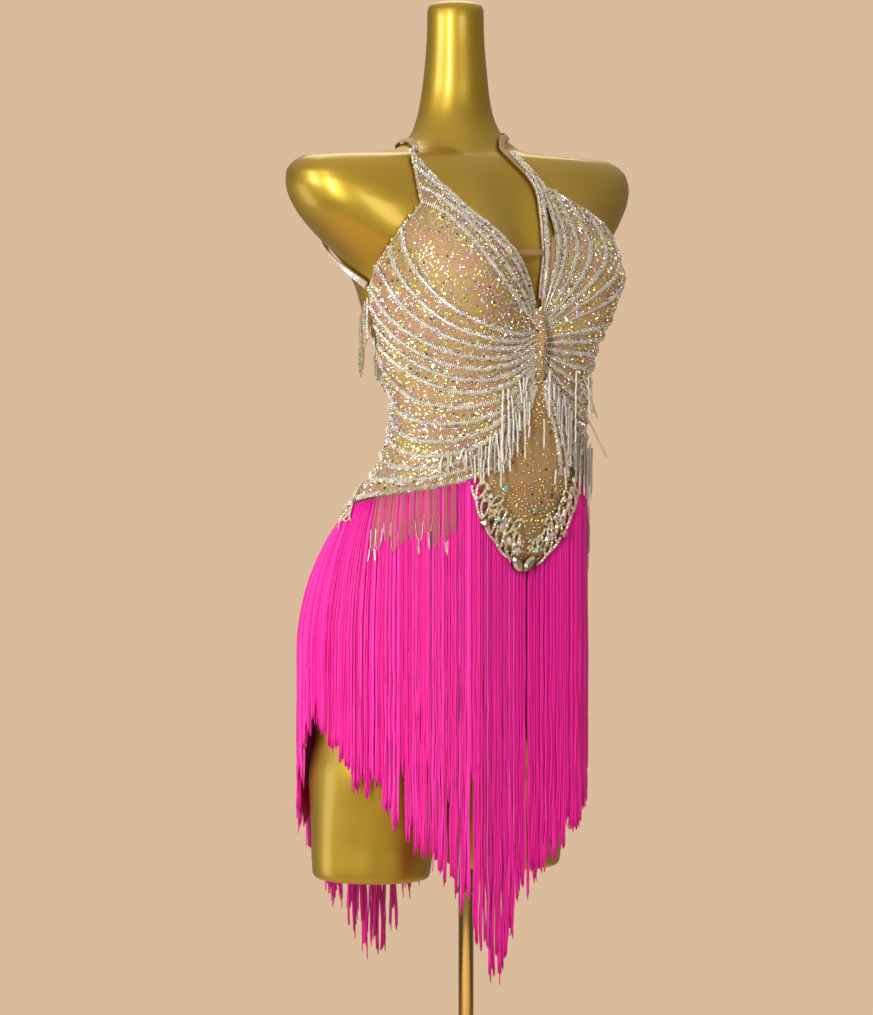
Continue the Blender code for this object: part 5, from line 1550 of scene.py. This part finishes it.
def round_stone(radius_, table_share, depth, sides):
    """A round stone: a girdle, a crown of facets and a flat table."""
    deselect()
    bpy.ops.mesh.primitive_cone_add(vertices=sides, radius1=radius_, radius2=radius_ * table_share,
                                    depth=depth, location=(0, 0, depth / 2))
    return bpy.context.object


def set_in_cup(name, stone, cup, place, normal, up, colour, replaces):
    """Joins a stone and its metal cup, and lays them on the cloth."""
    rng = rng_for(name)
    for thing, finish, tint in ((cup, "metal", (0.7, 0.6, 0.4)), (stone, "crystal", colour)):
        thing.data.materials.clear()
        thing.data.materials.append(finish_of(finish))
        set_tints(thing.data, np.array(tint) * rng.uniform(0.62, 1.12, (len(thing.data.vertices), 1)))
    deselect()
    cup.select_set(True)
    stone.select_set(True)
    bpy.context.view_layer.objects.active = stone
    bpy.ops.object.transform_apply(location=True, rotation=True, scale=True)
    bpy.ops.object.join()
    right = unit(np.cross(up, normal))
    up = np.cross(normal, right)
    turn = Matrix(((right[0], up[0], normal[0], 0), (right[1], up[1], normal[1], 0),
                   (right[2], up[2], normal[2], 0), (0, 0, 0, 1)))
    stone.matrix_world = Matrix.Translation((np.array(place) + AXIS) * CM) @ turn
    bpy.ops.object.transform_apply(location=True, rotation=True, scale=True)
    stone.name = stone.data.name = name
    finish_piece(stone, "crystal", replaces)
    return stone


class DRESS_OT_lace(bpy.types.Operator):
    """Builds the openwork of stone chains round the yoke's point and on the hips"""
    bl_idname = "dress.lace"
    bl_label = "Stone lace"

    def execute(self, context):
        for name, (rows, ease) in LACES.items():
            rng, load = rng_for(name), Load()
            place, length = lace_place(spline(rows, 60))
            side = -1 if name.endswith("right") else 1
            lines = (v_lace_lines(length, -side) if name.startswith("v_")
                     else hip_lace_lines(length, side))
            stone = LACE_STONE if name.startswith("v_") else HIP_STONE
            for line in lines:
                turn, height = place(*(np.asarray(v, float) for v in line))
                points, normals = on_lace(turn, height, OVER_ROPES + ease + 0.08)
                stone_chain(load, points, normals, stone, rng, LACE_TINT)
            for along in np.arange(0.8, length - 0.3, 0.88):
                turn, height = place(np.array([along]), np.array([rng.normal(0.45, 0.1)]))
                points, normals = on_lace(turn, height, OVER_ROPES + ease + 0.10)
                set_stones(load, points, normals, np.array([1.7 * stone]), rng, CHAIN_STONE)
            load.make(f"chains_{name}", "silver", replaces=(name,))
        rng, load, rows = rng_for("lace crystals"), Load(), LACE_CRYSTALS
        turns = about_hips(rows["bearing"], rows["height"])
        points, normals = on_lace(turns, rows["height"], OVER_ROPES + 0.16)
        tints = np.stack((rows["red"], rows["green"], rows["blue"]), -1)
        set_stones(load, points, normals, rows["radius"], rng, LACE_CRYSTAL, tints)
        load.make("lace_crystals", "crystal")
        return {"FINISHED"}


class DRESS_OT_set_stones(bpy.types.Operator):
    """Sets the two leaf stones at the yoke's point and the large round stones"""
    bl_idname = "dress.set_stones"
    bl_label = "Set stones"

    def execute(self, context):
        for name, (bearing, height, lean, tint) in SET_STONES.items():
            place, normal = on_lace(about_hips(bearing, height), height, OVER_LACE - 0.12)
            if name.startswith("leaf"):
                cup, stone = lens_stone(*LEAF_CUP), lens_stone(*LEAF_CUT)
            else:
                cup, stone = round_stone(*ROUND_CUP), round_stone(*ROUND_CUT)
            stone.location.z += CUP_FLOOR
            up = np.array((-math.sin(lean), 0.0, math.cos(lean)))
            set_in_cup(f"set_{name}", stone, cup, place, normal, up, tint, (name,))
        return {"FINISHED"}


# ======== hanging beads and strips
CLUSTER = 30  # strands in the thick of a bead fringe
FLUNG_STRANDS = (  # strands that stick out: bearing, height, lift at each end
    ((34.0, 119.0, 0.9), (62.0, 114.6, 1.4)), ((31.0, 118.4, 0.9), (60.0, 115.1, 1.1)),
    ((48.0, 114.8, 0.8), (62.0, 110.4, 2.55)))
BUGLE_TINTS = np.array(((0.93, 0.92, 0.88), (0.80, 0.77, 0.72), (0.62, 0.57, 0.50), (0.86, 0.83, 0.78)))


TRIM_TINT = np.array((0.52, 0.40, 0.28))


def drop_path(rows):
    """The ends of a hanging path's turns about the hips, and its top and foot at any turn."""
    turns = about_hips(rows["bearing"], rows["height"])
    return turns[0], turns[-1], lambda turn: [float(np.interp(turn, turns, rows[name]))
                                              for name in ("height", "foot")]


def plumb_line(turn, top, foot, lift, sway, count):
    """A strand that hangs over the fringe from a height, with a slight sideways sway in cm."""
    share = np.linspace(0, 1, count)
    height = top + (foot - top) * share
    distance = hang(turn, top, height) + lift
    shift = np.degrees(sway * np.sin(share * 2.2) / distance)
    return around(turn + shift, distance, height)


def bugle_strand(load, line, rng, radius_, length, tint):
    """Bugle beads threaded on a line with a small bead between each."""
    forward = unit(line[-1] - line[0])
    total = np.linalg.norm(line[-1] - line[0])
    count = max(int(round(total / (length + 0.14))), 1)
    at = (np.arange(count) + 0.5) / count
    places = between(at, np.linspace(0, 1, len(line)), line)
    kink = unit(forward + rng.normal(0, 0.035, (count, 3)))
    helper = np.broadcast_to((0.31, -0.95, 0.0), kink.shape)
    first = unit(np.cross(helper, kink))
    half = (total / count - 0.10) / 2
    second = np.cross(kink, first)
    frames_ = np.stack((first * radius_, second * radius_, kink * half), -1)
    tints = np.tile(tint, (count, 1)) * (1 - DIMMING * rng.random((count, 1)))
    load.set_shapes(BUGLE, places, frames_, tints)
    joints = places + kink * (half + 0.05)
    small = np.stack((first, second, kink), -1) * (1.15 * radius_)
    load.set_shapes(BEAD, joints, small, coating(count, rng))


class DRESS_OT_bead_fringe(bpy.types.Operator):
    """Hangs strands of bugle beads from the ropes each side of the yoke"""
    bl_idname = "dress.bead_fringe"
    bl_label = "Bead fringe"

    def execute(self, context):
        size = sizes()
        for name, rows in BEAD_FRINGES.items():
            rng, load = rng_for(name), Load()
            start, end, reach = drop_path(rows)
            side = -1 if name.endswith("right") else 1
            # painted shade: the left fringe's bugles are darkened, as the side away from the lamps
            painted_shade_tints = BUGLE_TINTS * (1.0 if side < 0 else 0.80)
            for share in (np.arange(CLUSTER) + rng.normal(0, 0.4, CLUSTER)) / CLUSTER:
                turn = start + (end - start) * np.clip(share, 0, 1)
                top, foot = reach(turn)
                top, foot = top + rng.uniform(-0.9, 0.3), foot + rng.uniform(-0.7, 2.2)
                lift = OVER_BEADS - 0.30 + 0.42 * rng.random()
                line = plumb_line(turn, top, min(foot, top - 1.1), lift, rng.normal(0, 0.30), 12)
                bugle_strand(load, line, rng, size["bugle"], rng.uniform(0.75, 1.25),
                             painted_shade_tints[rng.integers(0, len(painted_shade_tints))])
            for bearing, top, foot in LONE_STRANDS:
                if bearing * side > 0:
                    turn = float(about_hips(bearing, top))
                    line = plumb_line(turn, top, foot, OVER_BEADS - 0.1, rng.normal(0, 0.2), 12)
                    bugle_strand(load, line, rng, size["bugle"], 1.1, BUGLE_TINTS[0])
            for ends in FLUNG_STRANDS if side > 0 else ():
                head, tail = (lifted(*at) for at in ends)
                line = head + (tail - head) * np.linspace(0, 1, 12)[:, None]
                bugle_strand(load, line, rng, size["bugle"], 1.1, BUGLE_TINTS[1])
            load.make(f"bugles_{name}", "silver", replaces=(name,))
        return {"FINISHED"}


def mesh_strip(turn, top, foot, width, lift, bow):
    """Outer and inner points of a hanging strip with a pointed end."""
    share = np.linspace(0, 1, 15)[:, None]
    across = np.linspace(-1, 1, 5)[None, :]
    height = top + (foot - top) * share
    distance = hang(turn, top, height) + lift + bow * np.sin(np.pi * share)
    half = width / 2 * np.interp(share, (0, 0.55, 0.82, 0.93, 1.0), (0.80, 1.0, 0.92, 0.62, 0.06))
    curl = 0.10 * across**2 * np.interp(share, (0, 0.5, 1), (0.2, 1.0, 1.0))
    turns = turn + np.degrees(half * across / distance)
    return [around(turns, distance - curl + half_wall, height) for half_wall in (0.025, -0.025)]


def joined_walls(name, walls, material, slot, replaces):
    """Many small closed walls of one make as one mesh."""
    faces = wall_faces(*walls[0][0].shape[:2])[:, ::-1]
    points = [wall_points(outer, inner) for outer, inner in walls]
    faces = [faces + k * len(points[0]) for k in range(len(walls))]
    return piece(name, np.concatenate(points), np.concatenate(faces), material, slot, replaces=replaces)


class DRESS_OT_mesh_drops(bpy.types.Operator):
    """Hangs strips of mesh with stones and bugle drops at the armholes and the hips"""
    bl_idname = "dress.mesh_drops"
    bl_label = "Mesh drops"

    def execute(self, context):
        size = sizes()
        for name, (rows, strips) in MESH_DROPS.items():
            rng, load, walls = rng_for(name), Load(), []
            start, end, reach = drop_path(rows)
            at_hip = name.startswith("hip")
            count = strips + (3 if at_hip else 2)
            for k in range(count):
                turn = start + (end - start) * (k + 0.5 + rng.normal(0, 0.12)) / count
                top, foot = reach(turn)
                foot = foot + rng.uniform(-0.5, 1.6)
                width = rng.uniform(0.5, 0.95 if at_hip else 0.7)
                lift = OVER_ROPES + (0.10 if k % 2 else 0.0)
                outer, inner = mesh_strip(turn, top - 0.1, foot, width, lift, 0.12)
                walls.append((outer, inner))
                self.trim(load, outer, rng, at_hip)
                if rng.random() < (0.5 if at_hip else 0.8):
                    for _ in range(2):
                        tail = plumb_line(turn + rng.normal(0, 0.6), foot + 0.2, foot - rng.uniform(0.9, 1.6),
                                          lift + 0.1, rng.normal(0, 0.1), 4)
                        bugle_strand(load, tail, rng, 1.2 * size["bugle"], 1.2, (0.95, 0.94, 0.90))
            joined_walls(f"strips_{name}", walls, finish_of("sheer"), "nude_mesh", (name,))
            load.make(f"beads_{name}", "crystal")
        return {"FINISHED"}

    def trim(self, load, outer, rng, at_hip):
        """Small stones round a strip's pointed end and a few up its middle."""
        edge = np.concatenate((outer[9:, 0], outer[::-1][:6, -1]))
        normal = np.tile(unit(outer[7, 2] - (0, HIPS_Y, outer[7, 2, 2])), (len(edge), 1))
        stone_chain(load, edge, normal, 0.045, rng, TRIM_TINT, 3.4)
        if not at_hip:
            stone_chain(load, outer[:, 2], np.tile(normal[:1], (len(outer), 1)), 0.10, rng, gap=2.4)


# ======== the thread fringe
FRINGES = {  # bearings about the hips at which each quarter starts and ends
    "fringe_front_right": (-90.0, -0.7), "fringe_front_left": (0.7, 90.0),
    "fringe_back_right": (-179.6, -90.6), "fringe_back_left": (90.6, 179.6)}
PAINTED_HIGHLIGHT_SHARE, PAINTED_HIGHLIGHT_TINT = 0.13, (1.0, 7.0, 1.25)  # share and tint of the threads painted paler, as highlights
CLUMP_ENDS, THREAD_ENDS = (-1.5, 2.0), 0.26  # how unevenly clumps and threads end at the hem
STRAY_SHARE, STRAY_ENDS = 0.10, (-1.4, 1.6)  # threads that end by themselves, and how far off
DRAWN = (0.12, 0.45)  # how much of its width a clump loses at the hem
CLUMP = 1.7  # turn that one clump of threads takes, in degrees
NOTCHES = (  # gaps in the hem: turn, height of its top, half its width
    (-59.5, 79.0, 1.15), (-40.5, 76.9, 0.85), (-31.0, 78.2, 0.75), (-49.0, 80.0, 0.40),
    (-164.0, 68.4, 2.0), (-173.0, 68.0, 0.8), (-178.7, 67.6, 0.7), (169.7, 68.2, 1.2), (163.3, 69.0, 1.5))
THREAD_STEPS, TAPE_STEPS = 28, 60  # points along a thread, spans along the tape
TAPE_WALL, TAPE_DEPTH = 0.16, 1.1
# How far clumps and threads swing to the sides, threads crimp, and clumps stand in and out.
CLUMP_SWAY, THREAD_SWAY, CRIMP, CLUMP_DEPTH = 0.055, 0.022, 0.012, 0.10
LAYERS, LAYER_GAP = 3, 0.135  # depths that the threads hang in, and the gap between them
GATHER_TOP, GATHER_DEPTH = 97.0, 32.0  # where clumps begin to draw together, and over what depth


class DRESS_OT_thread_fringe(bpy.types.Operator):
    """Hangs the thread fringe in loose clumps whose ends draw together at the hem"""
    bl_idname = "dress.thread_fringe"
    bl_label = "Thread fringe"

    def execute(self, context):
        size, count = sizes(), context.scene.dress_sizes.threads
        for name, (first, last) in FRINGES.items():
            rng = rng_for(name)
            threads = self.threads(rng, first, last, count)
            normals = around(threads["turn"][:, None], np.ones((count, THREAD_STEPS)), 0.0) - (0, HIPS_Y, 0)
            girth_ = size["thread"] * (0.85 + 0.3 * rng.random((count, 1)))
            radii = girth_ * np.interp(threads["share"], (0, 0.97, 1.0), (1.0, 1.0, 0.75))[None, :]
            points, faces, uv, per = tubes(threads["path"], normals, radii, 3)
            tints = np.repeat(threads["tint"], per, axis=0)
            tape_points, tape_faces, tape_uv = self.tape(first, last)
            faces = np.concatenate((faces, tape_faces + len(points)))
            points = np.concatenate((points, tape_points))
            uv = np.concatenate((uv, tape_uv))
            tints = np.concatenate((tints, np.full(tape_points.shape, 0.75)))
            piece(f"threads_{name}", points, faces, finish_of("thread"), "pink_thread", tints=tints,
                  uv=uv, replaces=(name,))
        return {"FINISHED"}

    def threads(self, rng, first, last, count):
        """Paths and tints of one quarter's threads."""
        turn = first + (last - first) * (np.arange(count) + rng.random(count)) / count
        layer = rng.integers(0, LAYERS, count)
        clump = np.floor((turn + 400 + rng.normal(0, 0.35, count)) / CLUMP).astype(int)
        clumps = clump.max() + 1
        centre = (np.arange(clumps) + 0.5) * CLUMP - 400 + rng.normal(0, 0.45, clumps)
        spread = np.clip(turn - centre[clump], -CLUMP, CLUMP)
        hem = np.interp((centre + 180) % 360 - 180, HEM["bearing"], HEM["height"])
        clump_foot = hem + rng.uniform(*CLUMP_ENDS, clumps)
        foot = clump_foot[clump] + 0.12 * np.abs(spread) + rng.normal(0, THREAD_ENDS, count)
        foot = foot + np.where(rng.random(count) < STRAY_SHARE, rng.uniform(*STRAY_ENDS, count), 0.0)
        for at, notch_top, half in NOTCHES:
            beside = np.abs(turn - at) < half
            notched = notch_top + 1.1 * np.abs(turn - at) + rng.normal(0, 0.5, count)
            foot[beside] = np.maximum(foot, notched)[beside]
        top = np.interp(turn, *ROOT) - 0.05
        share = np.linspace(0, 1, THREAD_STEPS) ** 0.9  # points lie closer towards the hem
        height = top[:, None] + (foot - top)[:, None] * share[None, :]
        distance = hang(turn[:, None], top[:, None], height)
        draw = rng.uniform(*DRAWN, clumps)[clump][:, None]
        below = np.clip((GATHER_TOP - height) / GATHER_DEPTH, 0, 1.2)
        sway = self.sway(rng, clumps, CLUMP_SWAY)
        own = self.sway(rng, count, THREAD_SWAY)
        crimp = self.sway(rng, count, CRIMP, 3.6, 7.0)
        shift = sway(clump, height) * below + own(np.arange(count), height) * np.clip(below * 3, 0.15, 1)
        angle = turn[:, None] - spread[:, None] * draw * np.clip(below, 0, 1) ** 1.6
        shift = shift + crimp(np.arange(count), height)
        angle = angle + np.degrees(shift / distance)
        depth = self.sway(rng, clumps, CLUMP_DEPTH)
        lift = (CLEAR + 0.06 + LAYER_GAP * layer)[:, None] + own(np.arange(count)[::-1], height) * 0.35
        lift = lift + depth(clump, height) * np.clip(below, 0, 1)
        lift = np.maximum(lift, CLEAR + 0.04)
        tint = 1 - 0.34 * rng.random((count, 1)) ** 1.5 * np.ones((1, 3))
        # painted highlight: some threads are tinted paler to stand for highlights
        tint[rng.random(count) < PAINTED_HIGHLIGHT_SHARE] = PAINTED_HIGHLIGHT_TINT
        # painted shade: threads of the innermost layer, nearest the form, are darkened
        tint = tint * np.where(layer == 0, 0.85, 1.0)[:, None]
        return dict(path=around(angle, distance + lift, height), turn=turn, share=share, tint=tint)

    def sway(self, rng, count, size_, shortest=5.0, longest=19.0):
        """Slow sideways waves down each strand, as a function of strand numbers and heights."""
        lengths = rng.uniform(shortest, longest, (2, count))
        phases = rng.random((2, count)) * ANY_TURN

        def at(index, height):
            waves = [np.sin(2 * np.pi * height / lengths[k][index][:, None] + phases[k][index][:, None])
                     for k in (0, 1)]
            return size_ * (waves[0] + 0.6 * waves[1])

        return at

    def tape(self, first, last):
        """The sewn tape that holds the threads' heads."""
        wide = TAPE_STEPS + 1
        turn = np.linspace(first, last, wide)
        top = np.interp(turn, *ROOT)
        points = np.stack([around(turn, hang(turn, top, top - drop) + lift, top - drop) for lift, drop in (
            (CLEAR + TAPE_WALL, 0.0), (CLEAR + TAPE_WALL, TAPE_DEPTH), (CLEAR, TAPE_DEPTH), (CLEAR, 0.0))])
        step = np.arange(TAPE_STEPS)
        top_edge = np.stack((step + 3 * wide, step + 3 * wide + 1, step + 1, step), -1)
        ends = np.arange(4) * wide
        quads = np.concatenate((np.concatenate((grid_faces(4, wide), top_edge))[:, ::-1],
                                (ends, (ends + TAPE_STEPS)[::-1])))
        triangles = halves(quads)
        uv = np.stack(np.meshgrid(np.arange(4.0), turn, indexing="ij"), -1).reshape(-1, 2)
        return points.reshape(-1, 3), triangles, uv


# ======== floor, light and camera
# The room that lights the dress: how far up a direction points, and the colour there.
ROOM = ((0.0, (0.26, 0.205, 0.15)), (0.25, (0.32, 0.255, 0.19)), (0.9, (0.80, 0.72, 0.62)))
LAMPS = (  # name, bearing, height, distance, width, height, watts
    ("strip", -62.0, 1.5, 2.4, 0.28, 1.4, 38.0), ("side", -100.0, 1.5, 2.8, 1.1, 1.4, 35.0),
    ("front", -12.0, 1.2, 3.2, 1.4, 1.6, 26.0), ("low rim", -136.0, 0.5, 1.9, 0.6, 0.9, 4.0),
    ("top", 140.0, 2.9, 1.8, 1.4, 1.4, 12.0))
SENSOR = 24.0  # height of the camera's sensor, in millimetres
FOCAL, FRAME = 4365.0, (873, 1015)  # focal length and frame, in pixels
SIDE_STEP, PITCH = 0.0211, 2.59  # the camera's step to its left in metres, and its dip in degrees


def aimed(name, data, place, aim):
    """A lamp or camera at a place, looking along a direction."""
    thing = bpy.data.objects.new(name, data)
    thing.location = place
    thing.rotation_euler = aim.to_track_quat("-Z", "Y").to_euler()
    bpy.context.scene.collection.objects.link(thing)
    return thing


class DRESS_OT_stage(bpy.types.Operator):
    """Lays the floor, sets soft studio light and places the camera"""
    bl_idname = "dress.stage"
    bl_label = "Studio"

    def execute(self, context):
        scene, stage = context.scene, context.scene.dress_stage
        scene.view_settings.view_transform = "Standard"
        self.floor(tuple(scene.dress_colours.floor))
        self.world(tuple(scene.dress_colours.floor))
        target = np.array((AXIS[0] * CM, AXIS[1] * CM, 1.05))
        for name, azimuth, height, distance, wide, tall, power in LAMPS:
            turn = math.radians(azimuth)
            place = (target[0] + distance * math.sin(turn), target[1] - distance * math.cos(turn), height)
            self.lamp(name, place, target, wide, tall, power * stage.light)
        self.camera(scene, stage)
        return {"FINISHED"}

    def floor(self, colour):
        """A wide pale disc with a faint mottle."""
        deselect()
        bpy.ops.mesh.primitive_circle_add(vertices=96, radius=1.4, fill_type="NGON",
                                          location=(0, 0, -0.0005))
        disc = bpy.context.object
        disc.name = disc.data.name = "floor"
        material, tree, shader = new_material("studio_floor")
        tree.links.new(cloudy(tree, object_noise(tree, 1.5), colour, 0.97), shader.inputs["Base Color"])
        set_inputs(shader, Roughness=0.7)
        disc.data.materials.append(material)
        disc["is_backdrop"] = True

    def world(self, colour):
        """A pale backdrop; the room that lights the dress is bright above and dim at the sides."""
        world = bpy.data.worlds.new("studio")
        world.use_nodes = True
        tree = world.node_tree
        place = node(tree, "ShaderNodeTexCoord").outputs["Generated"]
        room = ramp(tree, node(tree, "ShaderNodeSeparateXYZ", place).outputs["Z"], ROOM)
        seen = node(tree, "ShaderNodeLightPath").outputs["Is Camera Ray"]
        tree.links.new(mixed(tree, seen, room, colour), tree.nodes["Background"].inputs["Color"])
        bpy.context.scene.world = world

    def lamp(self, name, place, target, wide, tall, power):
        """A soft rectangular lamp that faces the dress."""
        data = bpy.data.lights.new(name, "AREA")
        data.shape, data.energy = "RECTANGLE", power
        data.size, data.size_y = wide, tall
        aimed(name, data, Vector(place), Vector(target) - Vector(place))

    def camera(self, scene, stage):
        """The camera, with its frame and its turn about the form."""
        turn, pitch = math.radians(stage.azimuth), math.radians(PITCH)
        back = Vector((math.sin(turn), -math.cos(turn), 0.0))
        right = Vector((math.cos(turn), math.sin(turn), 0.0))
        data = bpy.data.cameras.new("camera")
        data.sensor_fit, data.sensor_height = "VERTICAL", SENSOR
        data.sensor_width = SENSOR * FRAME[0] / FRAME[1]
        data.lens = SENSOR * FOCAL / FRAME[1]
        place = Vector((AXIS[0] * CM, AXIS[1] * CM, stage.height)) + back * stage.distance
        aim = -(back * math.cos(pitch) + Vector((0, 0, 1)) * math.sin(pitch))
        scene.camera = aimed("camera", data, place - right * SIDE_STEP, aim)


# ======== sidebar, registration, run
STEPS = ("form", "stand", "bodice", "ropes", "stones", "straps", "lace", "set_stones", "bead_fringe",
         "mesh_drops", "thread_fringe", "stage")


class DRESS_PT_panel(bpy.types.Panel):
    """The dress's sizes, colours and steps"""
    bl_idname = "DRESS_PT_panel"
    bl_label = "Latin dance dress"
    bl_space_type = "VIEW_3D"
    bl_region_type = "UI"
    bl_category = "Dress"

    def draw(self, context):
        for group in (context.scene.dress_sizes, context.scene.dress_colours, context.scene.dress_stage):
            column_ = self.layout.column(align=True)
            for name in group.bl_rna.properties.keys():
                if name not in ("rna_type", "name"):
                    column_.prop(group, name)
        for step in STEPS:
            self.layout.operator(f"dress.{step}")


GROUPS = (DressSizes, DressColours, DressStage)
CLASSES = GROUPS + (
    DRESS_OT_form, DRESS_OT_stand, DRESS_OT_bodice, DRESS_OT_ropes, DRESS_OT_stones, DRESS_OT_straps,
    DRESS_OT_lace, DRESS_OT_set_stones, DRESS_OT_bead_fringe, DRESS_OT_mesh_drops,
    DRESS_OT_thread_fringe, DRESS_OT_stage, DRESS_PT_panel)


def register():
    for cls in CLASSES:
        bpy.utils.register_class(cls)
    bpy.types.Scene.dress_sizes = bpy.props.PointerProperty(type=DressSizes)
    bpy.types.Scene.dress_colours = bpy.props.PointerProperty(type=DressColours)
    bpy.types.Scene.dress_stage = bpy.props.PointerProperty(type=DressStage)


def unregister():
    for name in ("dress_sizes", "dress_colours", "dress_stage"):
        delattr(bpy.types.Scene, name)
    for cls in reversed(CLASSES):
        bpy.utils.unregister_class(cls)


def corners(box):
    """A box's two corners as plain numbers."""
    return [[float(v) for v in corner] for corner in box]


def main():
    register()
    for step in STEPS:
        getattr(bpy.ops.dress, step)()
    {"cad": corners(CAD_BOX), "visual": corners(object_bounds())}


if __name__ == "__main__":
    main()
